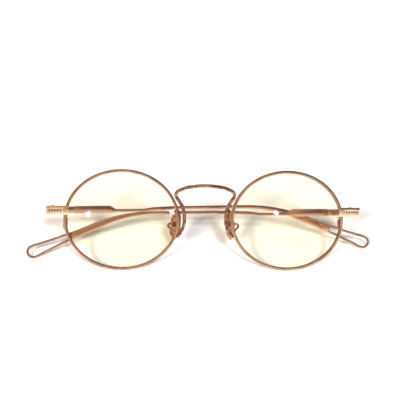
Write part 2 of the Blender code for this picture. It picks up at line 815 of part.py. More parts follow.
def make_pad(side):
    tag = side_name(side)
    pose = make_empty("nose_pad_pose_" + tag, pad_frame(side), front_root)
    half_length = pad_length / 2.0
    half_width = pad_width / 2.0
    steps = 28
    levels = [
        (-pad_thickness / 2.0, 0.80),
        (-pad_thickness * 0.25, 0.96),
        (0.0, 1.0),
        (pad_thickness * 0.25, 0.96),
        (pad_thickness / 2.0, 0.78),
        (pad_thickness / 2.0 + 0.22, 0.40),
    ]
    rings = []
    for level, share in levels:
        ring = []
        for step in range(steps):
            angle = 2.0 * math.pi * step / steps
            taper = 1.0 - 0.16 * math.sin(angle)
            x = half_width * share * taper * math.cos(angle)
            y = half_length * share * math.sin(angle)
            ring.append((x, y, level))
        rings.append(ring)
    loft("nose_pad_" + tag, rings, pad_gold, pose)

    # The holder box sits behind the pad and the arm ends behind the box
    top = -pad_thickness / 2.0 - seat_gap
    box_x = pad_box_width / 2.0
    box_y = pad_box_length / 2.0
    outline = box_outline(-box_x, box_x, -box_y, box_y)
    holder_pose = make_empty("pad_holder_pose_" + tag, pad_frame(side), front_root)
    prism("pad_holder_" + tag, outline, top - pad_box_height, top, frame_gold, holder_pose, 0.2)

    frame = pad_frame(side)
    arm_end = frame @ (Vector((0.0, 0.0, top - pad_box_height - seat_gap - 0.02)) * MM)
    arm_end = arm_end / MM
    away = (frame.to_3x3() @ Vector((0.0, 0.0, -1.0))).normalized()
    part = pad_arm_foot_height / rim_half_height
    foot_x = lens_half_spacing - rim_half_width * math.sqrt(1.0 - part * part)
    foot_y = rim_back_at_nose() + seat_gap
    foot = Vector((side * foot_x, foot_y, pad_arm_foot_height))
    knee = foot + Vector((side * pad_arm_knee_step, pad_arm_knee_back, -pad_arm_knee_step))
    low_x = side * (pad_half_span + pad_arm_turn_out)
    turn_low = Vector((low_x, pad_back - pad_arm_turn_forward, pad_centre_height - pad_arm_turn_drop))
    turn_top = arm_end + away * pad_arm_turn_reach + Vector((side * 0.1, 0.0, -pad_arm_turn_sink))
    points = [foot, knee, turn_low, turn_top, arm_end + away * pad_arm_end_run, arm_end]
    route = [tuple(point) for point in points]
    wire("pad_arm_" + tag, route, pad_arm_radius, frame_gold, front_root, steps=5)


def rim_back_at_nose():
    wrap = math.radians(face_wrap_angle)
    across = rim_half_width
    sag = across * across / (2.0 * base_curve_radius) - lens_vertex_set_forward
    return -across * math.sin(wrap) + (sag + rim_depth / 2.0) * math.cos(wrap)


for hand in (-1, 1):
    make_rim(hand)
    make_lens(hand)
    make_lock(hand)
    make_end_piece(hand)
    make_hinge(hand)
    make_temple(hand)
    make_pad(hand)
make_bridge()


# The part stands on its lowest points, centred over the origin
def stand_on_origin():
    bpy.context.view_layer.update()
    depsgraph = bpy.context.evaluated_depsgraph_get()
    low = Vector((math.inf, math.inf, math.inf))
    high = -low
    for item in part_collection.objects:
        if item.type != "MESH":
            continue
        shaped = item.evaluated_get(depsgraph)
        mesh_data = shaped.to_mesh()
        for vert in mesh_data.vertices:
            point = item.matrix_world @ vert.co
            low = Vector(map(min, low, point))
            high = Vector(map(max, high, point))
        shaped.to_mesh_clear()
    move = Vector((-(low.x + high.x) / 2.0, -(low.y + high.y) / 2.0, -low.z))
    front_root.matrix_local = Matrix.Translation(move) @ front_root.matrix_local
    bpy.context.view_layer.update()


stand_on_origin()
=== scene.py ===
"""Folded wire eyeglasses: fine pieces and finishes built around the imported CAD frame.

Lengths are in millimetres while a piece is shaped, and become metres when it is set in place.
"""

from __future__ import annotations

import json
import logging
import math
from dataclasses import dataclass
from enum import Enum
from typing import Any, Sequence

import bmesh
import bpy
from mathutils import Euler, Matrix, Vector

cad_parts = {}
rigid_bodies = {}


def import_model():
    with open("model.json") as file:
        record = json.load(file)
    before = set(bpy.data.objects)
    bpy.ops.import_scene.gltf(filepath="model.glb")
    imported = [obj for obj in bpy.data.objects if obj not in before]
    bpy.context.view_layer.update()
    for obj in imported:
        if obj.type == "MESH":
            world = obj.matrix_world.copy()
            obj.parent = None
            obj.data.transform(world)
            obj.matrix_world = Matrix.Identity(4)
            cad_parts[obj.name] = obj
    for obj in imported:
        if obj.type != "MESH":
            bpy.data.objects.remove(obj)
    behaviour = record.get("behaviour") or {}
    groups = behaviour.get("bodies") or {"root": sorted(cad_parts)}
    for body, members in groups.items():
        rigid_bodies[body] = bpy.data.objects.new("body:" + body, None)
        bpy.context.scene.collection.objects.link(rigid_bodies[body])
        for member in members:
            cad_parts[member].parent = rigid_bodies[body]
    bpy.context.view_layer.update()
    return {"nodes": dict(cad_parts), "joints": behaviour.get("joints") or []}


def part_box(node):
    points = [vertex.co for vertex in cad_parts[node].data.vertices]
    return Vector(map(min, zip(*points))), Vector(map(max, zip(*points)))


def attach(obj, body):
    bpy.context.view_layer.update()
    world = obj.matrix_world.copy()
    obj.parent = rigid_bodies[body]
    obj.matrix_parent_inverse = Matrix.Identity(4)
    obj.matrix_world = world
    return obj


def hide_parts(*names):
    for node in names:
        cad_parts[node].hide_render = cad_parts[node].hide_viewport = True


log = logging.getLogger("eyeglasses")

MM = 0.001
Point = tuple[float, float, float]


class Side(Enum):
    """The two sides, as seen from in front of the lenses."""

    LEFT = -1
    RIGHT = 1

    @property
    def sign(self) -> int:
        """The side's sign along X."""
        return self.value

    def node(self, stem: str) -> str:
        """The CAD node's name on this side."""
        return f"{stem}_{self.name.lower()}"


class Body(Enum):
    """The bodies that pieces ride on."""

    FRONT = "front"
    TEMPLE = "temple"
    PAD = "nose_pad"

    def on(self, side: Side) -> str:
        """The body's name in the frame."""
        return self.value if self is Body.FRONT else side.node(self.value)


# Modelling tools


def take(piece: bpy.types.Object) -> None:
    """Selects only this piece and makes it the active one."""
    for other in list(bpy.context.selected_objects):
        other.select_set(False)
    piece.select_set(True)
    bpy.context.view_layer.objects.active = piece


def clear_bench() -> None:
    """Leaves nothing selected or active."""
    for other in list(bpy.context.selected_objects):
        other.select_set(False)
    bpy.context.view_layer.objects.active = None


def close_up(piece: bpy.types.Object, merge: float = 0.002) -> None:
    """Merges doubled points and turns all faces outwards.

    Args:
        piece: A mesh in millimetres.
        merge: Points nearer than this become one.
    """
    take(piece)
    bpy.ops.object.mode_set(mode="EDIT")
    bpy.ops.mesh.select_all(action="SELECT")
    bpy.ops.mesh.remove_doubles(threshold=merge)
    bpy.ops.mesh.normals_make_consistent(inside=False)
    bpy.ops.object.mode_set(mode="OBJECT")


def smooth(piece: bpy.types.Object, angle: float = 35.0) -> None:
    """Shades the piece smooth except across edges sharper than the angle in degrees."""
    take(piece)
    bpy.ops.object.shade_smooth_by_angle(angle=math.radians(angle))


def settle(piece: bpy.types.Object, pose: Matrix) -> None:
    """Sets a piece shaped in millimetres at its pose, with its place in its mesh.

    Args:
        piece: The shaped piece.
        pose: The pose in metres, in the frame of the CAD.
    """
    take(piece)
    piece.matrix_world = pose @ Matrix.Scale(MM, 4)
    bpy.ops.object.transform_apply(location=True, rotation=True, scale=True)


def apply_modifier(piece: bpy.types.Object, kind: str, **settings: Any) -> None:
    """Adds one modifier with its settings and applies it.

    Args:
        piece: The piece to change.
        kind: The modifier's kind.
        **settings: Its settings by name.
    """
    take(piece)
    bpy.ops.object.modifier_add(type=kind)
    change = piece.modifiers[-1]
    for key, value in settings.items():
        setattr(change, key, value)
    bpy.ops.object.modifier_apply(modifier=change.name)


def carve(piece: bpy.types.Object, tool: bpy.types.Object) -> None:
    """Cuts the tool's shape out of the piece and removes the tool."""
    apply_modifier(piece, "BOOLEAN", operation="DIFFERENCE", solver="EXACT", object=tool)
    bpy.data.objects.remove(tool, do_unlink=True)


class RingStack:
    """A mesh grown from a circle primitive by extruding its open loop from ring to ring."""

    def __init__(self, name: str, first: Sequence[Point]) -> None:
        """Adds the circle and lays it on the first ring.

        Args:
            name: The new piece's name.
            first: The first ring's points in order.
        """
        clear_bench()
        bpy.ops.mesh.primitive_circle_add(vertices=len(first), radius=1.0, fill_type="NOTHING")
        self.piece = bpy.context.object
        self.piece.name = name
        self.piece.data.name = name
        bpy.ops.object.mode_set(mode="EDIT")
        bpy.ops.mesh.select_mode(type="VERT")
        bpy.ops.mesh.select_all(action="SELECT")
        self.order = list(range(len(first)))
        self._lay(first)

    def _lay(self, ring: Sequence[Point]) -> None:
        """Moves the selected loop's points to the ring."""
        work = bmesh.from_edit_mesh(self.piece.data)
        work.verts.ensure_lookup_table()
        for index, point in zip(self.order, ring):
            work.verts[index].co = Vector(point)
        bmesh.update_edit_mesh(self.piece.data)

    def grow(self, ring: Sequence[Point]) -> None:
        """Extrudes the open loop and lays the new loop on the ring.

        Args:
            ring: The next ring's points, as many as the first had.
        """
        bpy.ops.mesh.extrude_region()
        work = bmesh.from_edit_mesh(self.piece.data)
        work.verts.ensure_lookup_table()
        work.verts.index_update()
        follow = {}
        for vert in work.verts:
            if vert.select:
                for edge in vert.link_edges:
                    other = edge.other_vert(vert)
                    if not other.select:
                        follow[other.index] = vert.index
        self.order = [follow[index] for index in self.order]
        self._lay(ring)

    def cap(self) -> None:
        """Fills the last loop and the first loop with one face each."""
        bpy.ops.mesh.edge_face_add()
        bpy.ops.mesh.select_all(action="DESELECT")
        work = bmesh.from_edit_mesh(self.piece.data)
        work.verts.ensure_lookup_table()
        for index in range(len(self.order)):
            work.verts[index].select_set(True)
        work.select_flush(True)
        bmesh.update_edit_mesh(self.piece.data)
        bpy.ops.mesh.edge_face_add()

    def done(self, capped: bool, merge: float = 0.002) -> bpy.types.Object:
        """Leaves edit mode with a closed mesh.

        Args:
            capped: True where the ends get a face, False where they meet.
            merge: Points nearer than this become one.

        Returns:
            The finished mesh object, still in millimetres.
        """
        if capped:
            self.cap()
        bpy.ops.object.mode_set(mode="OBJECT")
        close_up(self.piece, merge)
        return self.piece


def stack_rings(name: str, rings: Sequence[Sequence[Point]], capped: bool) -> bpy.types.Object:
    """Grows one mesh through all the rings.

    Args:
        name: The piece's name.
        rings: Loops of equal count.
        capped: True where both ends get a face, False where they meet.

    Returns:
        The mesh object in millimetres.
    """
    stack = RingStack(name, rings[0])
    for ring in rings[1:]:
        stack.grow(ring)
    return stack.done(capped)


def bend_wire(
    name: str,
    points: Sequence[Point],
    radius: float,
    closed: bool = False,
    shares: Sequence[float] | None = None,
    steps: int = 10,
    sides: int = 4,
) -> bpy.types.Object:
    """Bends a round wire along a smooth curve and makes it a mesh.

    Args:
        name: The piece's name.
        points: The knots that the wire passes through.
        radius: The wire's radius.
        closed: True for a wire that meets itself.
        shares: The radius at each knot as a share of the full one.
        steps: Points between two knots.
        sides: Roundness of the wire's section.

    Returns:
        The mesh object in millimetres.
    """
    clear_bench()
    bpy.ops.curve.primitive_bezier_curve_add(radius=1.0)
    piece = bpy.context.object
    piece.name = name
    curve = piece.data
    curve.dimensions = "3D"
    curve.resolution_u = steps
    curve.bevel_depth = radius
    curve.bevel_resolution = sides
    curve.use_fill_caps = not closed
    spline = curve.splines[0]
    spline.bezier_points.add(len(points) - len(spline.bezier_points))
    for index, (knot, point) in enumerate(zip(spline.bezier_points, points)):
        knot.co = Vector(point)
        knot.handle_left_type = "AUTO"
        knot.handle_right_type = "AUTO"
        knot.radius = 1.0 if shares is None else shares[index]
    spline.use_cyclic_u = closed
    take(piece)
    bpy.ops.object.convert(target="MESH")
    piece = bpy.context.object
    close_up(piece, 0.0005)
    return piece


def arc_points(
    centre: tuple[float, float], radius: float, start: float, end: float, steps: int
) -> list[tuple[float, float]]:
    """Points on an arc, both ends included.

    Args:
        centre: The arc's centre.
        radius: Its radius.
        start: First angle in degrees.
        end: Last angle in degrees.
        steps: Number of parts.

    Returns:
        The points in order.
    """
    points = []
    for step in range(steps + 1):
        angle = math.radians(start + (end - start) * step / steps)
        points.append((centre[0] + radius * math.cos(angle), centre[1] + radius * math.sin(angle)))
    return points


# Where the CAD holds the pieces


@dataclass(frozen=True)
class Poses:
    """The poses of the front, the lens units, the temples and the pads, as in the CAD."""

    front: Matrix
    lens_half_spacing: float = 35.0
    face_wrap_angle: float = 3.0
    hinge_half_span: float = 64.05
    hinge_back: float = 11.0
    hinge_height: float = 3.7
    fold_angle_left: float = 6.6
    fold_angle_right: float = 2.3
    fold_rise_angle: float = 0.95
    pantoscopic_angle: float = 7.0
    temple_set_angle: float = 1.15
    pad_half_span: float = 11.7
    pad_back: float = 10.0
    pad_centre_height: float = -2.1
    pad_splay_angle: float = 35.0
    pad_flare_angle: float = 8.0
    pad_flare_share_x: float = 0.8
    pad_flare_share_y: float = 0.6

    @classmethod
    def from_joint(cls, joints: Sequence[dict[str, Any]], lean_back_angle: float = 21.8) -> "Poses":
        """Finds the front's origin from the left temple's joint.

        Args:
            joints: The frame's joints.
            lean_back_angle: How far the front leans back, in degrees.

        Returns:
            The poses.
        """
        joint = next(item for item in joints if item["name"] == "temple_left_fold")
        turn = Euler((-math.radians(lean_back_angle), 0.0, 0.0)).to_matrix()
        hinge = Vector((-cls.hinge_half_span, cls.hinge_back, cls.hinge_height)) * MM
        origin = Vector(joint["pos_m"]) - turn @ hinge
        return cls(front=Matrix.Translation(origin) @ turn.to_4x4())

    def lens(self, side: Side) -> Matrix:
        """The lens unit's pose."""
        turn = Matrix.Rotation(math.radians(self.face_wrap_angle) * side.sign, 4, "Z")
        shift = Matrix.Translation((side.sign * self.lens_half_spacing * MM, 0.0, 0.0))
        return self.front @ shift @ turn

    def temple(self, side: Side) -> Matrix:
        """The folded temple's pose, with Z along its hinge axis.

        Args:
            side: Which temple.

        Returns:
            The pose in metres.
        """
        sign = side.sign
        fold = math.radians(self.fold_angle_left if side is Side.LEFT else self.fold_angle_right)
        rise = math.radians(self.fold_rise_angle) * -sign
        along = Vector((-sign * math.cos(fold), math.sin(fold), math.tan(rise))).normalized()
        tilt = math.radians(self.pantoscopic_angle + sign * self.temple_set_angle)
        open_way = Vector((0.0, math.cos(tilt), -math.sin(tilt)))
        up = along.cross(open_way).normalized() * -sign
        across = along * -sign
        back = up.cross(across)
        turn = Matrix((across, back, up)).transposed().to_4x4()
        place = Vector((sign * self.hinge_half_span, self.hinge_back, self.hinge_height)) * MM
        return self.front @ Matrix.Translation(place) @ turn

    def pad(self, side: Side) -> Matrix:
        """The nose pad's pose, with Z out of its face.

        Args:
            side: Which pad.

        Returns:
            The pose in metres.
        """
        sign = side.sign
        splay = math.radians(self.pad_splay_angle)
        flare = math.radians(self.pad_flare_angle)
        inward = Vector((-sign * math.cos(splay), math.sin(splay), 0.0))
        lean = math.sin(flare)
        up = Vector(
            (-sign * lean * self.pad_flare_share_x, -lean * self.pad_flare_share_y, math.cos(flare))
        ).normalized()
        across = up.cross(inward).normalized()
        inward = across.cross(up).normalized()
        turn = Matrix((across, up, inward)).transposed().to_4x4()
        place = Vector((sign * self.pad_half_span, self.pad_back, self.pad_centre_height)) * MM
        return self.front @ Matrix.Translation(place) @ turn


# Finishes


def linear(colour: str, alpha: float = 1.0) -> tuple[float, float, float, float]:
    """Turns an sRGB hex colour to the linear values that the shaders take.

    Args:
        colour: Six hex digits after a hash sign.
        alpha: The fourth value.

    Returns:
        Red, green, blue and alpha.
    """
    parts = []
    for start in (1, 3, 5):
        value = int(colour[start:start + 2], 16) / 255.0
        parts.append(value / 12.92 if value <= 0.04045 else ((value + 0.055) / 1.055) ** 2.4)
    return (parts[0], parts[1], parts[2], alpha)


def add_node(
    tree: bpy.types.NodeTree,
    kind: str,
    settings: dict[str, Any] | None = None,
    values: dict[str | int, Any] | None = None,
    links: dict[str | int, bpy.types.NodeSocket] | None = None,
    stops: Sequence[tuple[float, str]] = (),
) -> bpy.types.Node:
    """Adds one node with its settings, socket values, incoming links and ramp stops.

    Args:
        tree: The node tree.
        kind: The node's type.
        settings: Properties of the node.
        values: Input values by socket.
        links: Incoming links by socket.
        stops: Places from 0 to 1 and sRGB hex colours, for a colour ramp.

    Returns:
        The new node.
    """
    node = tree.nodes.new(kind)
    for key, value in (settings or {}).items():
        setattr(node, key, value)
    for key, value in (values or {}).items():
        node.inputs[key].default_value = value
    for key, socket in (links or {}).items():
        tree.links.new(socket, node.inputs[key])
    if stops:
        elements = node.color_ramp.elements
        while len(elements) > len(stops):
            elements.remove(elements[-1])
        while len(elements) < len(stops):
            elements.new(1.0)
        for element, (place, colour) in zip(elements, stops):
            element.position = place
            element.color = linear(colour)
    return node


def new_tree(name: str) -> tuple[bpy.types.Material, bpy.types.NodeTree]:
    """Makes an empty node material.

    Args:
        name: The material's name.

    Returns:
        The material and its node tree.
    """
    material = bpy.data.materials.new(name)
    material.use_nodes = True
    material.node_tree.nodes.clear()
    return material, material.node_tree


@dataclass(frozen=True)
class PlatedMetal:
    """Thin plate over brass, polished and lightly worn from handling."""

    name: str
    pale: str
    middle: str
    deep: str
    roughness_low: float
    roughness_high: float
    tone_size_mm: float = 3.0
    rub_size_mm: float = 0.35
    rub_height_mm: float = 0.004

    def make(self) -> bpy.types.Material:
        """Builds the material.

        Returns:
            The finished material.
        """
        material, tree = new_tree(self.name)
        place = add_node(tree, "ShaderNodeTexCoord")
        # The plate is a little redder where it is thick and paler where hands have rubbed it
        tone = add_node(
            tree,
            "ShaderNodeTexNoise",
            values={"Scale": 1.0 / (self.tone_size_mm * MM), "Detail": 3.0, "Roughness": 0.55},
            links={"Vector": place.outputs["Object"]},
        )
        colour = add_node(
            tree,
            "ShaderNodeValToRGB",
            links={"Fac": tone.outputs["Fac"]},
            stops=[(0.34, self.deep), (0.5, self.middle), (0.68, self.pale)],
        )
        # Fine rub marks from polishing, drawn coarser than the real ones so that they show
        rub = add_node(
            tree,
            "ShaderNodeTexNoise",
            values={"Scale": 1.0 / (self.rub_size_mm * MM), "Detail": 2.0, "Roughness": 0.6},
            links={"Vector": place.outputs["Object"]},
        )
        gloss = add_node(
            tree,
            "ShaderNodeMapRange",
            values={
                "From Min": 0.3,
                "From Max": 0.7,
                "To Min": self.roughness_low,
                "To Max": self.roughness_high,
            },
            links={"Value": rub.outputs["Fac"]},
        )
        relief = add_node(
            tree,
            "ShaderNodeBump",
            values={"Strength": 0.35, "Distance": self.rub_height_mm * MM},
            links={"Height": rub.outputs["Fac"]},
        )
        shader = add_node(
            tree,
            "ShaderNodeBsdfPrincipled",
            values={"Metallic": 1.0},
            links={
                "Base Color": colour.outputs["Color"],
                "Roughness": gloss.outputs["Result"],
                "Normal": relief.outputs["Normal"],
            },
        )
        add_node(tree, "ShaderNodeOutputMaterial", links={"Surface": shader.outputs["BSDF"]})
        return material


@dataclass(frozen=True)
class BeadedPlate:
    """Plated wire whose front is rolled with rows of small round beads, with painted shade between
    them.
    """

    name: str
    pale: str
    middle: str
    deep: str
    pit_shade: str
    bead_size_mm: float = 0.9
    bead_height_mm: float = 0.09

    def make(self) -> bpy.types.Material:
        """Builds the material.

        Returns:
            The finished material.
        """
        material, tree = new_tree(self.name)
        place = add_node(tree, "ShaderNodeTexCoord")
        tone = add_node(
            tree,
            "ShaderNodeTexNoise",
            values={"Scale": 1.0 / (2.4 * MM), "Detail": 3.0},
            links={"Vector": place.outputs["Object"]},
        )
        colour = add_node(
            tree,
            "ShaderNodeValToRGB",
            links={"Fac": tone.outputs["Fac"]},
            stops=[(0.34, self.deep), (0.5, self.middle), (0.68, self.pale)],
        )
        # Rolled beads, drawn at nearly a millimetre where the real ones are half that, with painted
        # shade: a dark brown colour between them, where the hollows fall into shade
        bead = add_node(
            tree,
            "ShaderNodeTexVoronoi",
            settings={"feature": "F1"},
            values={"Scale": 1.0 / (self.bead_size_mm * MM), "Randomness": 0.25},
            links={"Vector": place.outputs["Object"]},
        )
        share = add_node(
            tree,
            "ShaderNodeMapRange",
            values={"From Min": 0.3, "From Max": 0.55, "To Min": 0.0, "To Max": 0.85},
            links={"Value": bead.outputs["Distance"]},
        )
        # Painted shade: the dark pit colour is mixed in away from the bead centres
        mixed = add_node(
            tree,
            "ShaderNodeMix",
            settings={"data_type": "RGBA"},
            values={7: linear(self.pit_shade)},
            links={0: share.outputs["Result"], 6: colour.outputs["Color"]},
        )
        gloss = add_node(
            tree,
            "ShaderNodeMapRange",
            values={"From Min": 0.2, "From Max": 0.6, "To Min": 0.16, "To Max": 0.4},
            links={"Value": bead.outputs["Distance"]},
        )
        relief = add_node(
            tree,
            "ShaderNodeBump",
            settings={"invert": True},
            values={"Strength": 0.6, "Distance": self.bead_height_mm * MM},
            links={"Height": bead.outputs["Distance"]},
        )
        shader = add_node(
            tree,
            "ShaderNodeBsdfPrincipled",
            values={"Metallic": 1.0},
            links={
                "Base Color": mixed.outputs[2],
                "Roughness": gloss.outputs["Result"],
                "Normal": relief.outputs["Normal"],
            },
        )
        add_node(tree, "ShaderNodeOutputMaterial", links={"Surface": shader.outputs["BSDF"]})
        return material


@dataclass(frozen=True)
class TurnedSteel:
    """Turned stainless screw steel with fine ring marks."""

    name: str = "turned_screw_steel"
    pale: str = "#D8D2C8"
    deep: str = "#9A9288"
    mark_size_mm: float = 0.16

    def make(self) -> bpy.types.Material:
        """Builds the material.

        Returns:
            The finished material.
        """
        material, tree = new_tree(self.name)
        place = add_node(tree, "ShaderNodeTexCoord")
        mark = add_node(
            tree,
            "ShaderNodeTexNoise",
            values={"Scale": 1.0 / (self.mark_size_mm * MM), "Detail": 1.0},
            links={"Vector": place.outputs["Object"]},
        )
        colour = add_node(
            tree,
            "ShaderNodeValToRGB",
            links={"Fac": mark.outputs["Fac"]},
            stops=[(0.35, self.deep), (0.65, self.pale)],
        )
        gloss = add_node(
            tree,
            "ShaderNodeMapRange",
            values={"To Min": 0.2, "To Max": 0.34},
            links={"Value": mark.outputs["Fac"]},
        )
        relief = add_node(
            tree,
            "ShaderNodeBump",
            values={"Strength": 0.3, "Distance": 0.004 * MM},
            links={"Height": mark.outputs["Fac"]},
        )
        shader = add_node(
            tree,
            "ShaderNodeBsdfPrincipled",
            values={"Metallic": 1.0},
            links={
                "Base Color": colour.outputs["Color"],
                "Roughness": gloss.outputs["Result"],
                "Normal": relief.outputs["Normal"],
            },
        )
        add_node(tree, "ShaderNodeOutputMaterial", links={"Surface": shader.outputs["BSDF"]})
        return material


@dataclass(frozen=True)
class CoatedLens:
    """Clear lens plastic with a pale warm tint and a thin anti-glare coat."""

    name: str = "coated_lens_plastic"
    tint: str = "#FFFFFA"
    tint_deep: str = "#FFFEF6"
    coat: str = "#B9A6E6"
    coat_edge: str = "#8FB6D8"

    def make(self) -> bpy.types.Material:
        """Builds the material.

        Returns:
            The finished material.
        """
        material, tree = new_tree(self.name)
        place = add_node(tree, "ShaderNodeTexCoord")
        # The dyed plastic is never quite even, so the tint drifts over some 12 mm
        cloud = add_node(
            tree,
            "ShaderNodeTexNoise",
            values={"Scale": 1.0 / (12.0 * MM), "Detail": 1.0},
            links={"Vector": place.outputs["Object"]},
        )
        tint = add_node(
            tree,
            "ShaderNodeValToRGB",
            links={"Fac": cloud.outputs["Fac"]},
            stops=[(0.35, self.tint_deep), (0.65, self.tint)],
        )
        clear = add_node(tree, "ShaderNodeBsdfTransparent", links={"Color": tint.outputs["Color"]})
        # The coat leaves a faint violet to blue reflection that grows towards grazing sight
        grazing = add_node(tree, "ShaderNodeLayerWeight", values={"Blend": 0.32})
        coat = add_node(
            tree,
            "ShaderNodeValToRGB",
            links={"Fac": grazing.outputs["Facing"]},
            stops=[(0.1, self.coat), (0.8, self.coat_edge)],
        )
        smear = add_node(
            tree,
            "ShaderNodeTexNoise",
            values={"Scale": 1.0 / (4.0 * MM), "Detail": 4.0},
            links={"Vector": place.outputs["Object"]},
        )
        gloss = add_node(
            tree,
            "ShaderNodeMapRange",
            values={"To Min": 0.015, "To Max": 0.06},
            links={"Value": smear.outputs["Fac"]},
        )
        shine = add_node(
            tree,
            "ShaderNodeBsdfAnisotropic",
            links={"Color": coat.outputs["Color"], "Roughness": gloss.outputs["Result"]},
        )
        share = add_node(
            tree,
            "ShaderNodeMapRange",
            values={"To Min": 0.016, "To Max": 0.13},
            links={"Value": grazing.outputs["Fresnel"]},
        )
        surface = add_node(
            tree,
            "ShaderNodeMixShader",
            links={0: share.outputs["Result"], 1: clear.outputs["BSDF"], 2: shine.outputs["BSDF"]},
        )
        add_node(tree, "ShaderNodeOutputMaterial", links={"Surface": surface.outputs["Shader"]})
        return material


class Finishes:
    """All finishes of the glasses, made once."""

    def __init__(self) -> None:
        """Makes each material."""
        # Rose-gold plate on nickel silver wire, buffed bright, so it mirrors light and dark
        self.wire = PlatedMetal(
            "rose_gold_plate_buffed", "#C8AC96", "#B69680", "#A28670", 0.04, 0.10, 5.0, 0.35, 0.001
        ).make()
        # The same plate on flat stampings, brushed along before plating, so a bit softer
        self.stamping = PlatedMetal(
            "rose_gold_plate_brushed", "#F8E6D0", "#EED8BE", "#E2C8AA", 0.10, 0.20, 3.0, 0.3, 0.002
        ).make()
        # The temples' plate is given a redder and darker colour than the stampings
        self.temple = PlatedMetal(
            "rose_gold_plate_temple", "#E4BE9E", "#DCB292", "#D2A686", 0.10, 0.17, 9.0, 0.3, 0.0008
        ).make()
        # Rolled bead ornament under the plate on the bridge, with painted shade between the beads
        self.beaded = BeadedPlate(
            "rose_gold_plate_beaded", "#F0D6BE", "#D6AE92", "#B48A70", "#5E3E30"
        ).make()
        # Plate in the struck recesses, left dull where no buff reaches, with painted shade: its
        # colours are a darker brown for the shade in the hollows
        self.recess_shade = PlatedMetal(
            "rose_gold_plate_recess", "#B08A62", "#96704C", "#7A5638", 0.42, 0.60, 1.0, 0.2, 0.006
        ).make()
        # Satin yellow plate on the nose pads, blasted before plating, so it spreads the light
        self.pad = PlatedMetal(
            "satin_gold_plate", "#D8A468", "#BE8850", "#9C6C3C", 0.24, 0.40, 2.5, 0.22, 0.008
        ).make()
        # Stainless screws straight from the lathe, bright and finely marked by the tool
        self.steel = TurnedSteel().make()
        # Clear lens plastic dyed a faint cream, with a coat that leaves little reflection
        self.lens = CoatedLens().make()


def dress(piece: bpy.types.Object, material: bpy.types.Material) -> None:
    """Gives a new piece its one material."""
    piece.data.materials.clear()
    piece.data.materials.append(material)


def hand_in(
    piece: bpy.types.Object, body: str, nodes: Sequence[str]
) -> bpy.types.Object:
    """Fixes a finished piece to its body and hides the CAD nodes that it stands for.

    Args:
        piece: The finished piece.
        body: The body that it rides on.
        nodes: The CAD nodes that it replaces.

    Returns:
        The same piece.
    """
    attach(piece, body)
    low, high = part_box(nodes[0])
    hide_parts(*nodes)
    corners = [vert.co for vert in piece.data.vertices]
    drift = 0.0
    for axis in range(3):
        drift = max(drift, abs(min(corner[axis] for corner in corners) - low[axis]))
        drift = max(drift, abs(max(corner[axis] for corner in corners) - high[axis]))
    faces = len(piece.data.polygons)
    log.info("%s: %d faces, largest box difference %.2f mm", piece.name, faces, drift / MM)
    return piece


# Sub-assemblies


@dataclass(frozen=True)
class LensOval:
    """The bent oval that the rims and the lenses share."""

    half_width: float = 23.6
    half_height: float = 20.5
    base_curve_radius: float = 130.0
    set_forward: float = 1.9
    steps: int = 144

    def ring(self, shrink: float, depth: float, share: float = 1.0) -> list[Point]:
        """One loop of the oval.

        Args:
            shrink: How far the loop lies inside the oval.
            depth: How far it lies behind the bent surface.
            share: The loop's size as a share of the whole.

        Returns:
            The loop's points.
        """
        points = []
        for step in range(self.steps):
            angle = 2.0 * math.pi * step / self.steps
            x = (self.half_width - shrink) * math.cos(angle) * share
            z = (self.half_height - shrink) * math.sin(angle) * share
            sag = (x * x + z * z) / (2.0 * self.base_curve_radius) - self.set_forward
            points.append((x, depth + sag, z))
        return points


@dataclass(frozen=True)
class Rim:
    """One rim: a rounded wire with the lens groove inside and the slit at the lock."""

    oval: LensOval
    wall: float = 1.3
    depth: float = 2.0
    crown: float = 0.42
    groove_depth: float = 0.6
    groove_width: float = 1.1
    slit_height: float = 0.9
    slit_width: float = 0.04

    def section(self) -> list[tuple[float, float]]:
        """The wire's section as pairs of shrink and depth."""
        half = self.wall / 2.0
        flank = self.depth / 2.0 - self.crown
        mouth = self.groove_width / 2.0
        points = []
        for step in range(9):
            angle = math.pi * step / 8.0
            points.append((-half * math.cos(angle), -flank - self.crown * math.sin(angle)))
        points += [(half, -mouth), (half - self.groove_depth, -mouth + 0.05)]
        points += [(half - self.groove_depth, mouth - 0.05), (half, mouth)]
        for step in range(9):
            angle = math.pi * step / 8.0
            points.append((half * math.cos(angle), flank + self.crown * math.sin(angle)))
        return points

    def build(self, side: Side, poses: Poses, finishes: Finishes) -> bpy.types.Object:
        """Builds and dresses the rim.

        Args:
            side: Which rim.
            poses: Where the CAD holds it.
            finishes: The finishes.

        Returns:
            The finished piece.
        """
        section = self.section()
        rings = [self.oval.ring(shrink, depth) for shrink, depth in section + section[:1]]
        piece = stack_rings(side.node("rim_wire"), rings, capped=False)
        clear_bench()
        bpy.ops.mesh.primitive_cube_add(
            size=1.0,
            location=(side.sign * (self.oval.half_width + 0.2), 0.0, self.slit_height),
            scale=(3.6, 6.0, self.slit_width),
        )
        carve(piece, bpy.context.object)
        smooth(piece, 40.0)
        settle(piece, poses.lens(side))
        dress(piece, finishes.wire)
        return hand_in(piece, Body.FRONT.on(side), [side.node("rim")])


